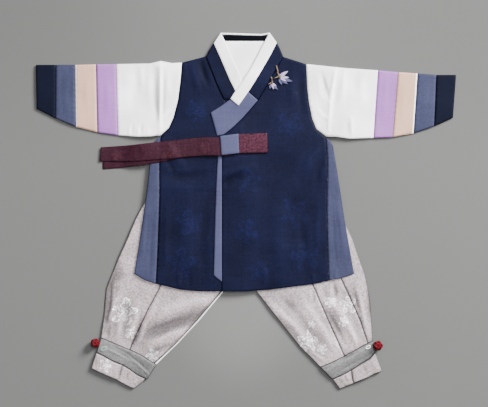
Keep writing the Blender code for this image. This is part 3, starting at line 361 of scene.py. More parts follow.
# Stripes beside the sleeves' seams, in millimetres: two places on the line and half its width
Stripe = namedtuple("Stripe", "x1 y1 x2 y2 half_width")
STRIPES = {
    "beige_silk": [Stripe(-296.2, 147, -297.4, 255.5, 1.1),
                   Stripe(291.8, 135.5, 298.6, 240.5, 1.1)],
    "white_silk": [Stripe(-221.6, 132, -225.0, 257, 2.2), Stripe(220.8, 127.5, 228.6, 246, 2.2)],
    "lilac_silk": [Stripe(-258.2, 137.5, -260.6, 256.5, 1.5), Stripe(254.6, 129, 264.0, 243, 1.4)],
}


def tone(name, description, *value):
    """A colour that a user may change."""
    return bpy.props.FloatVectorProperty(name=name, description=description, subtype="COLOR",
                                         default=value)


class HanbokColours(bpy.types.PropertyGroup):
    """How much light each silk and thread throws back, set for the stage's strong window."""

    navy_silk: tone("Vest", "Navy silk of the vest body", 0.0028, 0.0036, 0.0145)
    cuff_navy: tone("Cuffs", "Navy silk of the sleeve ends", 0.0022, 0.0030, 0.0095)
    slate_silk: tone("Slate", "Slate-blue side panels and sleeve bands", 0.027, 0.029, 0.060)
    slate_front: tone("Slate front", "Slate-blue collar end, opening strip and keeper",
                      0.043, 0.045, 0.090)
    maroon_loop: tone("Tie loop", "Maroon silk of the loop at the knot", 0.034, 0.0085, 0.0165)
    seam_white: tone("Seam strip", "White strip down the left leg's seam", 0.86, 0.85, 0.84)
    lilac_silk: tone("Lilac", "Lilac sleeve band", 0.25, 0.100, 0.32)
    beige_silk: tone("Beige", "Beige sleeve band", 0.45, 0.28, 0.205)
    white_silk: tone("White", "White sleeves, collar strip and lining", 0.86, 0.86, 0.85)
    maroon_silk: tone("Ties", "Maroon silk of the ties", 0.022, 0.0053, 0.0108)
    silver_silk: tone("Trousers", "Silver-pink jacquard of the trousers", 0.265, 0.216, 0.226)
    ankle_satin: tone("Ankle bands", "Grey satin of the ankle bands", 0.094, 0.091, 0.091)
    dark_lining: tone("Inside band", "Dark band inside the back of the collar", 0.002, 0.002, 0.004)
    mint_cord: tone("Tab", "Pale tab at the left knot", 0.21, 0.28, 0.245)
    red_cord: tone("Knots", "Red cord of the ankle knots", 0.085, 0.0001, 0.0042)
    navy_flower: tone("Vest roses", "Blue thread of the vest's woven roses", 0.0058, 0.0070, 0.040)
    silver_flower: tone("Trouser roses", "Pale thread of the trousers' woven roses",
                        0.88, 0.86, 0.85)
    maroon_flower: tone("Tie roses", "Pink thread of the ties' woven roses", 0.060, 0.018, 0.026)
    beige_stripe: tone("Beige seam", "Pale stripe beside the slate band's seam", 0.85, 0.78, 0.74)
    white_stripe: tone("White seam", "Pink-white stripe beside the lilac band's seam",
                       0.86, 0.74, 0.84)
    lilac_stripe: tone("Lilac seam", "Deeper stripe beside the beige band's seam",
                       0.20, 0.082, 0.26)
    petal_pale: tone("Pale petals", "Pale thread of the blossoms", 0.34, 0.28, 0.44)
    petal_deep: tone("Deep petals", "Grey-blue thread of the blossoms", 0.06, 0.062, 0.13)
    stem_thread: tone("Stems", "Beige thread of the stems", 0.13, 0.09, 0.055)
    floor: tone("Floor", "The plain surface below", 0.092, 0.092, 0.090)


def distance(name, description, value):
    """A distance in metres that a user may change."""
    return bpy.props.FloatProperty(name=name, description=description, default=value,
                                   unit="LENGTH")


class HanbokSizes(bpy.types.PropertyGroup):
    """Sizes of the fine forms."""

    mesh_step: distance("Mesh step", "Longest edge of the cloth's fine mesh", 3.7 * MM)
    edge_roll: distance("Edge roll", "How far a piece's edge dips to its seam", 0.8 * MM)
    edge_width: distance("Edge width", "Width of the rolled edge", 1.3 * MM)
    crease_scale: bpy.props.FloatProperty(
        name="Creases", description="Strength of all hand-placed creases", default=1.0,
        min=0.0, max=1.4)


def colours():
    """The colours that a user may change."""
    return bpy.context.scene.hanbok_colours


def sizes():
    """The sizes that a user may change."""
    return bpy.context.scene.hanbok_sizes


def smooth(value):
    """A step from 0 to 1 with soft ends."""
    value = np.clip(value, 0.0, 1.0)
    return 0.5 - 0.5 * np.cos(math.pi * value)


def to_line(x, y, line):
    """How far each place lies from a line, how far along it that is, and the line's length."""
    nearest = np.full(x.shape, np.inf)
    where = np.zeros(x.shape)
    done = 0.0
    for (x1, y1), (x2, y2) in zip(line[:-1], line[1:]):
        length = math.hypot(x2 - x1, y2 - y1)
        share = np.clip(((x - x1) * (x2 - x1) + (y - y1) * (y2 - y1)) / length ** 2, 0.0, 1.0)
        away = np.hypot(x - x1 - share * (x2 - x1), y - y1 - share * (y2 - y1))
        closer = away < nearest
        nearest = np.where(closer, away, nearest)
        where = np.where(closer, done + share * length, where)
        done += length
    return nearest, where, done


def close_to(x, y, line, reach):
    """Which places lie in the box round a line, with its reach added."""
    across = [place[0] for place in line]
    up = [place[1] for place in line]
    return ((x > min(across) - reach) & (x < max(across) + reach)
            & (y > min(up) - reach) & (y < max(up) + reach))


def crease_field(x, y):
    """Height of every crease, seam and swell at each place, in millimetres."""
    height = np.zeros(x.shape)
    for crease in CREASES:
        near = close_to(x, y, crease.line, crease.reach)
        away, where, length = to_line(x[near], y[near], crease.line)
        inward = np.minimum(where, length - where) / (END_FADE * length)
        fade = END_HEIGHT + (1.0 - END_HEIGHT) * smooth(inward)
        height[near] += crease.height * fade * smooth(1.0 - away / crease.reach)
    for line in SEAM_LINES:
        near = close_to(x, y, line, PUCKER_REACH)
        away, where, _ = to_line(x[near], y[near], line)
        ripple = np.sin(where * 2 * math.pi / PUCKER_EVERY
                        + PUCKER_DRIFT * np.sin(where / DRIFT_LENGTH))
        height[near] += (SEAM_DEPTH * smooth(1.0 - away / SEAM_REACH)
                         + PUCKER_HEIGHT * ripple * smooth(1.0 - away / PUCKER_REACH))
    for swell in SWELLS:
        height += swell.height * np.sin((swell.across * x + swell.up * y) * MM * 2 * math.pi
                                        + swell.turn)
    return height * sizes().crease_scale


def piece_mesh(node):
    """A welded copy of a node's solid."""
    build = bmesh.new()
    build.from_mesh(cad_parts[node].data)
    bmesh.ops.remove_doubles(build, verts=build.verts, dist=SOLID_WELD)
    return build


def refine(build, longest):
    """Splits edges until none is longer than the wanted step."""
    for _ in range(SPLIT_ROUNDS):
        long_edges = [edge for edge in build.edges if edge.calc_length() > longest]
        if not long_edges:
            break
        bmesh.ops.subdivide_edges(build, edges=long_edges, cuts=1, use_grid_fill=False)
        bmesh.ops.triangulate(build, faces=[face for face in build.faces if len(face.verts) > 3])
    bmesh.ops.remove_doubles(build, verts=build.verts, dist=FINE_WELD)
    bmesh.ops.dissolve_degenerate(build, edges=build.edges, dist=SHORTEST_EDGE)


def roll_edges(build, width):
    """Gives the top face of a wall a narrow strip along its edge that dips to the seam, and marks
    the strip for painted shade.
    """
    rim = build.verts.layers.float.new("rim")
    faces = [face for face in build.faces if face.normal.z > TOP_FACE]
    if not faces:
        return
    bmesh.ops.inset_region(build, faces=faces, thickness=width, depth=0.0,
                           use_even_offset=False, use_boundary=True)
    inner = {vertex for face in faces for vertex in face.verts}
    for vertex in build.verts:
        turns = [face.normal.z for face in vertex.link_faces]
        if vertex in inner or max(turns) < UNDERSIDE:
            continue
        vertex[rim] = 1.0
        if max(turns) > TOP_FACE and min(turns) < -UNDERSIDE:
            vertex.co.z -= sizes().edge_roll


def even_out(mesh):
    """Smooths the heights of a fine mesh along its level stretches, so no facet shows."""
    count = len(mesh.vertices)
    co = np.empty(count * 3)
    mesh.vertices.foreach_get("co", co)
    co = co.reshape(-1, 3)
    ends = np.empty(len(mesh.edges) * 2, dtype=np.int64)
    mesh.edges.foreach_get("vertices", ends)
    ends = ends.reshape(-1, 2)
    run = co[ends[:, 1]] - co[ends[:, 0]]
    span = np.hypot(run[:, 0], run[:, 1])
    level = np.abs(run[:, 2]) < LEVEL_SLOPE * span
    ends = ends[level]
    pull = MM / span[level]
    ties = np.bincount(ends[:, 0], weights=pull, minlength=count)
    ties += np.bincount(ends[:, 1], weights=pull, minlength=count)
    for _ in range(EVEN_ROUNDS):
        near = np.bincount(ends[:, 0], weights=pull * co[ends[:, 1], 2], minlength=count)
        near += np.bincount(ends[:, 1], weights=pull * co[ends[:, 0], 2], minlength=count)
        mean = np.where(ties > 0, near / np.maximum(ties, 1e-9), co[:, 2])
        co[:, 2] += EVEN_SHARE * (mean - co[:, 2])
    return co


def cloth_shell(cut):
    """A fine cloth shell on its solid's form, with the creases laid over it."""
    build = piece_mesh(cut.node)
    build.normal_update()
    roll_edges(build, min(sizes().edge_width, RIM_SHARE * cut.width * MM))
    refine(build, sizes().mesh_step * COARSER.get(cut.node, 1.0))
    mesh = bpy.data.meshes.new(cut.node + "_cloth")
    build.to_mesh(mesh)
    build.free()
    co = even_out(mesh)
    x, y, z = co[:, 0] / MM, co[:, 1] / MM, co[:, 2] / MM
    field = crease_field(x, y)
    lifted = z + np.maximum(field, DEEPEST) * smooth(z / FIELD_RISE)
    co[:, 2] = np.maximum(lifted, 0.0) * MM
    mesh.vertices.foreach_set("co", co.ravel())
    # Crease, seam and swell heights kept on the mesh for painted shade in troughs and highlights on
    # ridges
    mesh.attributes.new("fold", "FLOAT", "POINT").data.foreach_set("value", field)
    mesh.update()
    mesh.shade_smooth()
    mesh.set_sharp_from_angle(angle=SHARP_ANGLE)
    piece = link_piece(mesh, silk_material(cut.silk), cut.node)


def link_piece(mesh, material, stands_for=None):
    """Links a new piece in its material, and gives what it rides on and its solid."""
    mesh.materials.append(material)
    piece = bpy.data.objects.new(mesh.name, mesh)
    bpy.context.scene.collection.objects.link(piece)
    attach(piece, "root")
    if stands_for:
        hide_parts(stands_for)
    return piece


def smooth_mesh(name, build):
    """A smooth mesh of what was modelled, with its faces turned outward."""
    bmesh.ops.recalc_face_normals(build, faces=build.faces)
    mesh = bpy.data.meshes.new(name)
    build.to_mesh(mesh)
    build.free()
    mesh.shade_smooth()
    return mesh


def add_node(tree, kind, inputs=(), **settings):
    """Adds a node, sets its own settings and fills or links its inputs."""
    node = tree.nodes.new(kind)
    for name, value in settings.items():
        setattr(node, name, value)
    for key, value in dict(inputs).items():
        if isinstance(value, bpy.types.NodeSocket):
            tree.links.new(value, node.inputs[key])
        else:
            node.inputs[key].default_value = value
    return node


def maths(tree, operation, first, second=0.0, third=None):
    """A Math node's result."""
    inputs = {0: first, 1: second}
    if third is not None:
        inputs[2] = third
    return add_node(tree, "ShaderNodeMath", inputs, operation=operation).outputs[0]


def times(tree, first, second):
    """The product of two numbers."""
    return maths(tree, "MULTIPLY", first, second)


def vectors(tree, operation, first, second):
    """A Vector Math node's result. SCALE takes a number second, and the others a vector."""
    result = "Value" if operation in ("DISTANCE", "DOT_PRODUCT") else "Vector"
    return add_node(tree, "ShaderNodeVectorMath",
                    {0: first, "Scale" if operation == "SCALE" else 1: second},
                    operation=operation).outputs[result]


def ramp(tree, value, low, high, start=0.0, end=1.0, **settings):
    """A Map Range node's result: start up to low, end from high on, and a slope between."""
    return add_node(tree, "ShaderNodeMapRange", {0: value, 1: low, 2: high, 3: start, 4: end},
                    **settings).outputs[0]


def separate(tree, vector):
    """A vector's X, Y and Z."""
    return add_node(tree, "ShaderNodeSeparateXYZ", {0: vector}).outputs


def noise(tree, vector, scale, detail, result=0):
    """A Noise texture's value, or its colour."""
    return add_node(tree, "ShaderNodeTexNoise",
                    {"Vector": vector, "Scale": scale, "Detail": detail}).outputs[result]


def new_group(name, vector_inputs, number_inputs, outputs):
    """A shader node group with number outputs, what goes into it and what comes out."""
    group = bpy.data.node_groups.new(name, "ShaderNodeTree")
    for labels, way, kind in ((vector_inputs, "INPUT", "Vector"), (number_inputs, "INPUT", "Float"),
                              (outputs, "OUTPUT", "Float")):
        for label in labels:
            group.interface.new_socket(label, in_out=way, socket_type="NodeSocket" + kind)
    return (group, group.nodes.new("NodeGroupInput").outputs,
            group.nodes.new("NodeGroupOutput").inputs)


# Waves a metre of the noise that makes slubs, along X, Y and Z: across the cloth and up it
SLUBS_ACROSS = (22.0, 430.0, 60.0)
SLUBS_UP = (520.0, 26.0, 60.0)
# How high the even threads stand beside the slubs
THREAD_RELIEF = 0.3


def weave_group():
    """Crossing threads with uneven slubs: a height for the bump and a shade for the colour."""
    group, start, end = new_group("Woven Threads", ["Vector"], ["Thread", "Slub"],
                                  ["Height", "Shade"])
    vector = start["Vector"]
    place = separate(group, vector)
    turn = maths(group, "DIVIDE", 2 * math.pi, start["Thread"])
    warp = maths(group, "SINE", times(group, place[0], turn))
    weft = maths(group, "SINE", times(group, place[1], turn))
    cross = times(group, warp, weft)
    across = noise(group, vectors(group, "MULTIPLY", vector, SLUBS_ACROSS), 1.0, 2.0)
    upward = noise(group, vectors(group, "MULTIPLY", vector, SLUBS_UP), 1.0, 2.0)
    slubs = maths(group, "SUBTRACT", maths(group, "ADD", across, upward), 1.0)
    height = maths(group, "ADD", times(group, cross, THREAD_RELIEF), slubs)
    shade = times(group, slubs, start["Slub"])
    group.links.new(height, end["Height"])
    group.links.new(maths(group, "ADD", shade, 1.0), end["Shade"])
    return group


# A noise goes from 0 to 1 round this mean
NOISE_MEAN = 0.5
# Waves a metre of the noise for wide patches, for middling ones and for the speckle; the middling
# ones' share, the mean of both together, and how much the speckle is raised
PATCH_WIDE = 11.0
PATCH_MIDDLE = 90.0
PATCH_FINE = 330.0
MIDDLE_SHARE = 0.5
PATCH_MEAN = NOISE_MEAN * (1.0 + MIDDLE_SHARE)
SPECKLE_GAIN = 2.0


def patch_group():
    """Soft lighter and darker patches, painted light and shade where silk lies unevenly, with a
    fine speckle of the cloth's grain.
    """
    group, start, end = new_group("Soft Patches", ["Vector"], ["Strength", "Speckle"], ["Shade"])
    vector = start["Vector"]
    wide = noise(group, vector, PATCH_WIDE, 3.0)
    middle = noise(group, vector, PATCH_MIDDLE, 2.0)
    fine = noise(group, vector, PATCH_FINE, 3.0)
    both = maths(group, "ADD", wide, times(group, middle, MIDDLE_SHARE))
    soft = times(group, maths(group, "SUBTRACT", both, PATCH_MEAN), start["Strength"])
    grain = times(group, maths(group, "SUBTRACT", fine, NOISE_MEAN), start["Speckle"])
    grain = times(group, grain, SPECKLE_GAIN)
    group.links.new(maths(group, "ADD", maths(group, "ADD", soft, grain), 1.0), end["Shade"])
    return group


# A woven rose in shares of its reach: how far noise bends and frays it, where the flower ends and
# how deep its scallops are, and where its leaves start, how long they are and how narrow
ROSE_BEND = 0.85
ROSE_FRAY = 0.30
FLOWER_EDGE = 0.50
SCALLOP = 0.05
LEAF_START = 0.46
LEAF_LENGTH = 0.52
LEAF_NARROW = 1.6
LEAF_CLEAR = (0.52, 0.56)
# Waves of its drawing: round the middle, and out to one reach
PETALS_ROUND = 3.0
PETALS_OUT = 7.0
RINGS_OUT = 19.0
RING_CURL = 2.1
SCALLOPS_ROUND = 5.0
LEAVES_ROUND = 2.5
VEINS_ROUND = 9.0
VEINS_OUT = 44.0
# How its waves turn into drawn lines: the wave's height where a line starts and where it is
# full, and how much shows at each
PETAL_LINES = (0.2, 0.75, 0.14, 1.0)
VEIN_LINES = (0.3, 0.8, 0.10, 0.7)
LEAF_OUTLINE = (0.08, 0.16, 1.0, 0.0)
# How softly the flower and the leaves end
FLOWER_FADE = 0.07
LEAF_FADE = 0.05
# Waves a metre of the noise that bends it and of the noise that frays it
BEND_WAVES = 95.0
FRAY_WAVES = 240.0


def rose_group():
    """One woven rose with leaves round it: a mask of where its threads lie on top."""
    group, start, end = new_group("Woven Rose", ["Vector", "Centre"], ["Reach", "Turn"], ["Mask"])
    vector = start["Vector"]
    share = maths(group, "DIVIDE", 1.0, start["Reach"])
    off = vectors(group, "SUBTRACT", vector, start["Centre"])
    bend = vectors(group, "SUBTRACT", noise(group, vector, BEND_WAVES, 2.0, "Color"),
                   [NOISE_MEAN] * 3)
    place = separate(group, vectors(group, "ADD", vectors(group, "SCALE", off, share),
                                    vectors(group, "SCALE", bend, ROSE_BEND)))
    fray = maths(group, "SUBTRACT", noise(group, vector, FRAY_WAVES, 2.0), NOISE_MEAN)
    away = maths(group, "SQRT", maths(group, "ADD", times(group, place[0], place[0]),
                                      times(group, place[1], place[1])))
    away = maths(group, "MULTIPLY_ADD", fray, ROSE_FRAY, away)
    turn = maths(group, "ADD", maths(group, "ARCTAN2", place[1], place[0]), start["Turn"])
    flower = flower_mask(group, away, turn)
    leaves = leaf_mask(group, away, turn)
    group.links.new(maths(group, "MAXIMUM", flower, leaves), end["Mask"])
    return group


def waves(group, away, out, turn, curl):
    """Waves that run outward and curl round the middle."""
    return maths(group, "SINE", maths(group, "MULTIPLY_ADD", away, out, times(group, turn, curl)))


def flower_mask(group, away, turn):
    """The rose itself: curled rings of petals inside a scalloped edge."""
    petals = waves(group, away, PETALS_OUT, turn, PETALS_ROUND)
    rings = waves(group, away, RINGS_OUT, petals, RING_CURL)
    lines = ramp(group, rings, *PETAL_LINES)
    scallops = maths(group, "SINE", times(group, turn, SCALLOPS_ROUND))
    edge = maths(group, "MULTIPLY_ADD", scallops, SCALLOP, FLOWER_EDGE)
    inside = ramp(group, maths(group, "SUBTRACT", edge, away), 0.0, FLOWER_FADE)
    return times(group, inside, lines)


def leaf_mask(group, away, turn):
    """The leaves round it: veins inside an outline, clear of the flower."""
    sprays = maths(group, "ABSOLUTE", maths(group, "SINE", times(group, turn, LEAVES_ROUND)))
    sprays = maths(group, "MULTIPLY_ADD", maths(group, "POWER", sprays, LEAF_NARROW), LEAF_LENGTH,
                   LEAF_START)
    into = maths(group, "SUBTRACT", sprays, away)
    leaf = ramp(group, into, 0.0, LEAF_FADE)
    outline = ramp(group, into, *LEAF_OUTLINE)
    veins = ramp(group, waves(group, away, VEINS_OUT, turn, VEINS_ROUND), *VEIN_LINES)
    drawn = times(group, leaf, maths(group, "MAXIMUM", veins, outline))
    return times(group, drawn, ramp(group, away, *LEAF_CLEAR))


# A stripe's edge fades over this distance to each side
STRIPE_FADE = 0.3 * MM


def stripe_group():
    """A straight stripe through two places: a mask of the cloth within half its width."""
    group, start, end = new_group("Seam Stripe", ["Vector", "Place", "Across"],
                                  ["Half Width"], ["Mask"])
    off = vectors(group, "SUBTRACT", start["Vector"], start["Place"])
    away = vectors(group, "DOT_PRODUCT", off, start["Across"])
    inside = maths(group, "SUBTRACT", start["Half Width"], maths(group, "ABSOLUTE", away))
    group.links.new(ramp(group, inside, -STRIPE_FADE, STRIPE_FADE), end["Mask"])
    return group


def shared_group(name):
    """A shared node group, made at its first use."""
    makers = {"Woven Threads": weave_group, "Soft Patches": patch_group,
              "Woven Rose": rose_group, "Seam Stripe": stripe_group}
    return bpy.data.node_groups.get(name) or makers[name]()


def group_node(tree, name, inputs):
    """Places a shared group in a material."""
    return add_node(tree, "ShaderNodeGroup", inputs, node_tree=shared_group(name))


def start_material(name, colour, roughness, gloss=PLAIN_GLOSS):
    """A new material with its shader, and the place on the cloth as a vector."""
    material = bpy.data.materials.new(name)
    material.use_nodes = True
    tree = material.node_tree
    shader = tree.nodes["Principled BSDF"]
    shader.inputs["Base Color"].default_value = (*colour, 1.0)
    shader.inputs["Roughness"].default_value = roughness
    shader.inputs["Specular IOR Level"].default_value = gloss
    vector = tree.nodes.new("ShaderNodeTexCoord").outputs["Object"]
    return material, tree, shader, vector


def set_surface(tree, shader, colour, shade, height, depth, strength):
    """Links a colour made lighter or darker by a shade, and a height as fine relief."""
    tree.links.new(vectors(tree, "SCALE", colour, shade), shader.inputs["Base Color"])
    bump = add_node(tree, "ShaderNodeBump", {"Height": height, "Distance": depth,
                                             "Strength": strength})
    tree.links.new(bump.outputs[0], shader.inputs["Normal"])


def blend(tree, share, first, second):
    """A colour between two plain ones."""
    return add_node(tree, "ShaderNodeMix", {0: share, 6: (*first, 1.0), 7: (*second, 1.0)},
                    data_type="RGBA").outputs[2]


def surface_value(tree, name):
    """A value that the cloth's mesh carries at each of its points."""
    node = tree.nodes.new("ShaderNodeAttribute")
    node.attribute_name = name
    return node.outputs["Fac"]


def joined(tree, masks):
    """Every one of some masks in one."""
    whole = masks[0]
    for mask in masks[1:]:
        whole = maths(tree, "MAXIMUM", whole, mask)
    return whole


def rose_mask(tree, vector, name):
    """Every rose of a silk in one mask."""
    masks = [group_node(tree, "Woven Rose", {"Vector": vector, "Reach": rose.reach * MM,
                                             "Centre": (rose.x * MM, rose.y * MM, 0.0),
                                             "Turn": rose.turn}).outputs["Mask"]
             for rose in ROSES[name]]
    return times(tree, joined(tree, masks), ROSE_STRENGTH[name])


def stripe_mask(tree, vector, name):
    """Every seam stripe of a silk in one mask."""
    masks = []
    for stripe in STRIPES[name]:
        across = Vector((stripe.y2 - stripe.y1, stripe.x1 - stripe.x2, 0.0)).normalized()
        node = group_node(tree, "Seam Stripe", {"Vector": vector, "Across": across,
                                                "Place": (stripe.x1 * MM, stripe.y1 * MM, 0.0),
                                                "Half Width": stripe.half_width * MM})
        masks.append(node.outputs["Mask"])
    return joined(tree, masks)


def silk_material(name):
    """Woven silk with slubs, soft patches of painted light and shade, painted shade along its edges
    and in its troughs, a painted highlight on its ridges and, where it has them, woven roses or
    seam stripes.
    """
    known = bpy.data.materials.get("look_" + name)
    if known:
        return known
    silk = SILKS[name]
    colour = getattr(colours(), name)[:]
    material, tree, shader, vector = start_material("look_" + name, colour, silk.roughness,
                                                    silk.gloss)
    weave = group_node(tree, "Woven Threads",
                       {"Vector": vector, "Thread": silk.thread * MM, "Slub": silk.slub})
    patches = group_node(tree, "Soft Patches", {"Vector": vector, "Strength": silk.patch,
                                                "Speckle": silk.speckle})
    shade = times(tree, weave.outputs["Shade"], patches.outputs["Shade"])
    # Painted shade along every rolled edge and seam of the piece
    rim = maths(tree, "MULTIPLY_ADD", surface_value(tree, "rim"), -silk.rim, 1.0)
    # Painted shade in the troughs of creases and seams, and a painted highlight on their ridges
    fold = maths(tree, "MULTIPLY_ADD", surface_value(tree, "fold"), silk.hollow, 1.0)
    fold = add_node(tree, "ShaderNodeClamp", {0: fold, 1: DEEPEST_SHADE, 2: RIDGE_HIGHLIGHT}).outputs[0]
    shade = times(tree, shade, times(tree, rim, fold))
    height = weave.outputs["Height"]
    if name in ROSES:
        mask = rose_mask(tree, vector, name)
        colour = blend(tree, mask, colour, getattr(colours(), name.replace("silk", "flower"))[:])
        gloss = ramp(tree, mask, 0.0, 1.0, silk.roughness, silk.roughness - ROSE_SHEEN)
        tree.links.new(gloss, shader.inputs["Roughness"])
        height = maths(tree, "MULTIPLY_ADD", mask, ROSE_RELIEF, height)
    if name in STRIPES:
        colour = blend(tree, stripe_mask(tree, vector, name), colour,
                       getattr(colours(), name.replace("silk", "stripe"))[:])
    set_surface(tree, shader, colour, shade, height, WEAVE_DEPTH, WEAVE_STRENGTH)
    return material


class HANBOK_OT_cloth(bpy.types.Operator):
    """Lays a fine silk shell with its creases on every cloth solid"""

    bl_idname = "hanbok.cloth"
    bl_label = "Lay the cloth"

    def execute(self, context):
        for cut in CUTS:
            cloth_shell(cut)
        return {"FINISHED"}


class HANBOK_OT_small_pieces(bpy.types.Operator):
    """Finishes the knots, their loop and tab, and the blossoms"""

    bl_idname = "hanbok.small_pieces"
    bl_label = "Finish the small pieces"

    def execute(self, context):
        for node in ("knot_left", "knot_right"):
            wound_knot(node)
        dress_node("knot_loop_right", silk_material("white_silk"))
        cord_loop("knot_tab_left")
        for node in PETALS:
            stitched_blossom(node)
            dress_node(node + "_stem", thread_material("stem_thread"))
        return {"FINISHED"}


def dress_node(node, material):
    """Gives a solid that keeps its own shape its material."""
    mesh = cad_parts[node].data
    mesh.materials.clear()
    mesh.materials.append(material)


def thread_material(name):
    """Shiny embroidery thread in close parallel stitches, with painted shade between them and along
    its edges.
    """
    known = bpy.data.materials.get("look_" + name)
    if known:
        return known
    colour = getattr(colours(), name)[:]
    material, tree, shader, vector = start_material("look_" + name, colour, THREAD_ROUGHNESS,
                                                    THREAD_GLOSS)
    place = separate(tree, vector)
    slant = maths(tree, "MULTIPLY_ADD", place[1], STITCH_SLANT, place[0])
    stitch = maths(tree, "SINE", times(tree, slant, 2 * math.pi / STITCH_EVERY))
    # Painted shade in the grooves between stitches and painted light on their crowns
    shade = maths(tree, "MULTIPLY_ADD", stitch, STITCH_SHADE, 1.0)
    # Painted shade along the thread's turned edges
    edge = maths(tree, "MULTIPLY_ADD", surface_value(tree, "rim"), -THREAD_RIM_SHADE, 1.0)
    set_surface(tree, shader, colour, times(tree, shade, edge), stitch,
                STITCH_DEPTH, STITCH_STRENGTH)
    return material


def circle(count):
    """The angles of evenly spaced places round a circle."""
    return [2 * math.pi * step / count for step in range(count)]


def skin(build, rings):
    """Joins each ring of points to the next with faces."""
    for first, second in zip(rings[:-1], rings[1:]):
        for step in range(len(first)):
            after = (step + 1) % len(first)
            build.faces.new([first[step], second[step], second[after], first[after]])


CORD_SIDES = 8


def tube_along(build, points, radius):
    """Sweeps a round cord along a closed line of points."""
    count = len(points)
    middle = sum(points, Vector()) / count
    rings = []
    for index, point in enumerate(points):
        way = (points[(index + 1) % count] - points[index - 1]).normalized()
        side = way.cross((point - middle).normalized()).normalized()
        up = side.cross(way).normalized()
        rings.append([build.verts.new(point + (side * math.cos(angle)
                                               + up * math.sin(angle)) * radius)
                      for angle in circle(CORD_SIDES)])
    skin(build, rings + rings[:1])


# A ball knot in shares of its reach: the cord's radius, how far it sways in and out, and its core
KNOT_CORD = 0.24
KNOT_SWAY = 0.05
KNOT_CORE = 0.97
# Its winding: turns round the ball, waves up and down it, how steep they are, and its points
KNOT_TURNS = 4
KNOT_WAVES = 5
KNOT_TILT = math.radians(62)
KNOT_POINTS = 220


def wound_knot(node):
    """A ball knot: a cord wound over and under itself round a small core."""
    low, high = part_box(node)
    centre = (low + high) / 2
    reach = (high - low).x / 2
    cord = reach * KNOT_CORD
    points = []
    for place in circle(KNOT_POINTS):
        around = KNOT_TURNS * place
        tilt = KNOT_TILT * math.sin(KNOT_WAVES * place)
        out = (reach - cord) * (1.0 + KNOT_SWAY * math.cos(2 * KNOT_WAVES * place))
        points.append(centre + Vector((math.cos(around) * math.cos(tilt),
                                       math.sin(around) * math.cos(tilt),
                                       math.sin(tilt))) * out)
    build = bmesh.new()
    tube_along(build, points, cord)
    core = bmesh.ops.create_icosphere(build, subdivisions=3, radius=(reach - cord) * KNOT_CORE)
    for vertex in core["verts"]:
        vertex.co += centre
    link_piece(smooth_mesh(node + "_cord", build), thread_material("red_cord"), node)


# The loop's cord: its radius in metres, its turns, and the points of each
LOOP_CORD = 0.75 * MM
LOOP_TURNS = 2
LOOP_POINTS = 40
# The outer turn's share of the solid's size, how much less the next has, how far each leans and
# rises, and how much its two ends differ in width
LOOP_REACH = 0.86
LOOP_LESS = 0.36
LOOP_LEAN = 0.5
LOOP_RISE = 0.3
LOOP_TAPER = 0.2


def cord_loop(node):
    """The button loop that shows beside the left knot: two turns of pale cord."""
    low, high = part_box(node)
    centre = (low + high) / 2
    build = bmesh.new()
    for turn in range(LOOP_TURNS):
        reach = (high - low) / 2 * (LOOP_REACH - LOOP_LESS * turn)
        height = low.z + LOOP_CORD * (1.0 + LOOP_RISE * turn)
        points = []
        for angle in circle(LOOP_POINTS):
            width = 1.0 - LOOP_TAPER + LOOP_TAPER * math.cos(angle)
            points.append(Vector((centre.x + reach.x * math.cos(angle - LOOP_LEAN),
                                  centre.y + reach.y * math.sin(angle) * width, height)))
        tube_along(build, points, LOOP_CORD)
    link_piece(smooth_mesh(node + "_cord", build), silk_material("mint_cord"), node)


# Petals and leaves of the blossoms in millimetres: from their root to their tip, half their
# width, and how high they stand over the blossom's underside
Petal = namedtuple("Petal", "x1 y1 x2 y2 half_width lift thread")
PETALS = {
    "blossom_large": [
        Petal(57, 234, 73.5, 244.5, 3.2, 1.0, "petal_pale"),
        Petal(57, 232, 81.5, 226.5, 3.8, 1.0, "petal_deep"),
        Petal(58, 231, 62.5, 220.5, 3.2, 1.1, "petal_deep"),
        Petal(60, 230, 73.0, 221.8, 3.2, 1.5, "petal_deep"),
        Petal(59, 233, 75.0, 233.2, 2.8, 1.9, "petal_pale"),
        Petal(60, 231.5, 70.5, 226.6, 2.2, 2.4, "petal_pale"),
        Petal(60, 234.5, 68.5, 238.5, 2.0, 2.3, "petal_pale"),
        Petal(61, 236, 48.8, 231.8, 1.5, 2.0, "stem_thread"),
        Petal(56.0, 241, 60.5, 231.5, 2.0, 2.6, "stem_thread"),
    ],
    "blossom_small": [
        Petal(45, 223, 55.5, 211.5, 2.7, 1.0, "petal_deep"),
        Petal(44, 222, 41.2, 213.5, 2.4, 1.2, "petal_deep"),
        Petal(45, 223, 53.0, 218.0, 2.1, 1.6, "petal_pale"),
        Petal(44.5, 222, 48.6, 212.5, 2.0, 2.0, "petal_pale"),
        Petal(46.5, 224.5, 38.4, 221.4, 1.4, 1.9, "stem_thread"),
        Petal(46.0, 228, 45.6, 220.5, 1.4, 2.5, "stem_thread"),
    ],
}


# The blossoms' threads and their slots. The first one's piece replaces the blossom's solid
THREADS = {"petal_deep": "blossom_thread", "petal_pale": "blossom_thread",
           "stem_thread": "stem_thread"}


def stitched_blossom(node):
    """A blossom of raised satin-stitch petals that fan out from its calyx."""
    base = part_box(node)[0].z / MM
    stands_for = node
    for thread, slot in THREADS.items():
        build = bmesh.new()
        rim = build.verts.layers.float.new("rim")
        for petal in PETALS[node]:
            if petal.thread == thread:
                petal_form(build, rim, base, petal)
        link_piece(smooth_mesh(f"{node}_{thread}", build), thread_material(thread),
                   stands_for)
        stands_for = None


PETAL_STEPS = 14
PETAL_SIDES = 14
# A petal's outline is a sine wave's hump: where it starts, how much of it is run through and how
# early it fills out; and the least share of its width and height that it keeps
HUMP_START = 0.06
HUMP_RUN = 0.90
HUMP_FILL = 0.85
NARROWEST = 0.08
FLATTEST = 0.15
# How far a petal stands above its middle and hangs below it, in millimetres
PETAL_CROWN = 0.75
PETAL_BELLY = 0.85


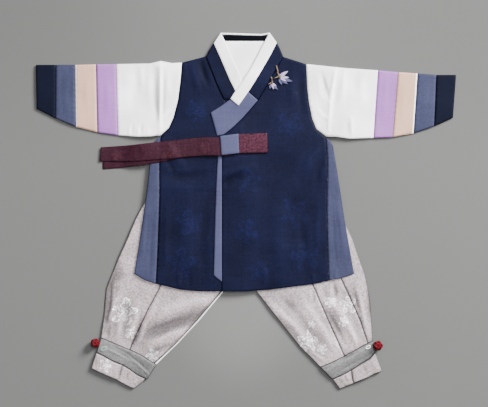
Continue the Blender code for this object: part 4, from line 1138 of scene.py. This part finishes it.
def petal_form(build, rim, base, petal):
    """One domed petal: narrow at its root, full in the middle, with painted shade along its turned
    edge.
    """
    run = Vector((petal.x2 - petal.x1, petal.y2 - petal.y1, 0.0))
    side_way = Vector((-run.y, run.x, 0.0)).normalized()
    rows = []
    for step in range(PETAL_STEPS + 1):
        share = step / PETAL_STEPS
        swell = math.sin(math.pi * min(1.0, HUMP_START + HUMP_RUN * share ** HUMP_FILL))
        half = petal.half_width * max(swell, NARROWEST)
        middle = Vector((petal.x1, petal.y1, base + petal.lift)) + run * share
        tip = (2 * share - 1) ** 8 if share > 0.5 else 0.0
        row = []
        for angle in circle(PETAL_SIDES):
            crown = PETAL_CROWN if angle < math.pi else PETAL_BELLY
            place = middle + side_way * math.cos(angle) * half
            place.z += crown * math.sin(angle) * max(swell, FLATTEST)
            vertex = build.verts.new(place * MM)
            # Painted shade where the petal's sides turn down and towards its tip
            vertex[rim] = max(abs(math.cos(angle)) ** 3, tip)
            row.append(vertex)
        rows.append(row)
    skin(build, rows)
    build.faces.new(rows[0])
    build.faces.new(rows[-1][::-1])


# The photograph's frame on the floor, in metres, and how far above it the camera hangs
VIEW_WIDTH = 0.854
VIEW_CENTRE = (-0.0035, 0.0130)
CAMERA_HEIGHT = 3.2
SENSOR = 36.0


class HANBOK_OT_stage(bpy.types.Operator):
    """Sets the plain floor, the lights and the camera straight above"""

    bl_idname = "hanbok.stage"
    bl_label = "Set the stage"

    def execute(self, context):
        make_floor()
        make_lights()
        make_camera()
        return {"FINISHED"}


# The floor, in metres: half its width, how far below the garment it lies, and its looks
FLOOR_REACH = 4.0
FLOOR_DROP = 0.3 * MM
FLOOR_ROUGHNESS = 0.85
FLOOR_PATCHES = 0.04
FLOOR_SPECKLE = 0.01
# Painted light and shade on the floor, in metres: a painted pool of light between the legs and
# painted shade towards the upper corners; the whole shade up to near, none past far
PaintedPool = namedtuple("PaintedPool", "x y near far shade")
PAINTED_POOLS = [PaintedPool(-0.01, -0.18, 0.03, 0.16, 1.34), PaintedPool(-0.42, 0.40, 0.04, 0.36, 0.84),
         PaintedPool(0.42, 0.40, 0.04, 0.36, 0.86)]


def make_floor():
    """A wide plain surface just under the garment, with painted pools of light and shade."""
    mesh = bpy.data.meshes.new("floor")
    build = bmesh.new()
    bmesh.ops.create_grid(build, x_segments=8, y_segments=8, size=FLOOR_REACH)
    build.to_mesh(mesh)
    build.free()
    floor = bpy.data.objects.new("floor", mesh)
    floor.location.z = -FLOOR_DROP
    bpy.context.scene.collection.objects.link(floor)
    colour = colours().floor[:]
    material, tree, shader, vector = start_material("look_floor", colour, FLOOR_ROUGHNESS)
    shade = group_node(tree, "Soft Patches", {"Vector": vector, "Strength": FLOOR_PATCHES,
                                              "Speckle": FLOOR_SPECKLE}).outputs["Shade"]
    # A painted pool of light between the legs, and painted shade towards the upper corners
    for painted_pool in PAINTED_POOLS:
        away = vectors(tree, "DISTANCE", vector, (painted_pool.x, painted_pool.y, 0.0))
        shade = times(tree, shade, ramp(tree, away, painted_pool.near, painted_pool.far, painted_pool.shade,
                                                    interpolation_type="SMOOTHSTEP"))
    tree.links.new(vectors(tree, "SCALE", colour, shade), shader.inputs["Base Color"])
    mesh.materials.append(material)


# The area lights: their place and size in metres and power in watts; and the light all round
Light = namedtuple("Light", "name place size power")
LIGHTS = [Light("window", (2.7, 2.5, 2.0), 1.5, 900.0), Light("fill", (-1.6, -1.2, 2.2), 2.2, 16.0),
          Light("top", (0.3, 0.6, 2.8), 1.4, 60.0)]
SKY = (0.95, 0.97, 1.0, 1.0)
SKY_STRENGTH = 0.5


def make_lights():
    """A strong window from the upper right, a weak fill from the lower left and one from above."""
    for light in LIGHTS:
        data = bpy.data.lights.new(light.name, "AREA")
        data.size = light.size
        data.energy = light.power
        lamp = bpy.data.objects.new(light.name, data)
        lamp.location = light.place
        lamp.rotation_euler = (-Vector(light.place)).to_track_quat("-Z", "Y").to_euler()
        bpy.context.scene.collection.objects.link(lamp)
    world = bpy.data.worlds.new("studio")
    world.use_nodes = True
    sky = world.node_tree.nodes["Background"]
    sky.inputs["Color"].default_value = SKY
    sky.inputs["Strength"].default_value = SKY_STRENGTH
    bpy.context.scene.world = world


def make_camera():
    """The camera, straight above as the garment was photographed."""
    data = bpy.data.cameras.new("camera")
    data.sensor_fit = "HORIZONTAL"
    data.sensor_width = SENSOR
    data.lens = SENSOR * CAMERA_HEIGHT / VIEW_WIDTH
    camera = bpy.data.objects.new("camera", data)
    camera.location = (*VIEW_CENTRE, CAMERA_HEIGHT)
    bpy.context.scene.collection.objects.link(camera)
    bpy.context.scene.camera = camera


class HANBOK_PT_panel(bpy.types.Panel):
    """Lists the steps and what may be changed"""

    bl_label = "Hanbok"
    bl_idname = "HANBOK_PT_panel"
    bl_space_type = "VIEW_3D"
    bl_region_type = "UI"
    bl_category = "Hanbok"

    def draw(self, context):
        for operator in (HANBOK_OT_cloth, HANBOK_OT_small_pieces, HANBOK_OT_stage):
            self.layout.operator(operator.bl_idname)
        for group in (colours(), sizes()):
            for name in group.__annotations__:
                self.layout.prop(group, name)


CLASSES = (HanbokColours, HanbokSizes, HANBOK_OT_cloth, HANBOK_OT_small_pieces, HANBOK_OT_stage,
           HANBOK_PT_panel)


def register():
    for item in CLASSES:
        bpy.utils.register_class(item)
    bpy.types.Scene.hanbok_colours = bpy.props.PointerProperty(type=HanbokColours)
    bpy.types.Scene.hanbok_sizes = bpy.props.PointerProperty(type=HanbokSizes)


def unregister():
    del bpy.types.Scene.hanbok_sizes
    del bpy.types.Scene.hanbok_colours
    for item in reversed(CLASSES):
        bpy.utils.unregister_class(item)


def main():
    register()
    bpy.ops.hanbok.cloth()
    bpy.ops.hanbok.small_pieces()
    bpy.ops.hanbok.stage()


if __name__ == "__main__":
    main()
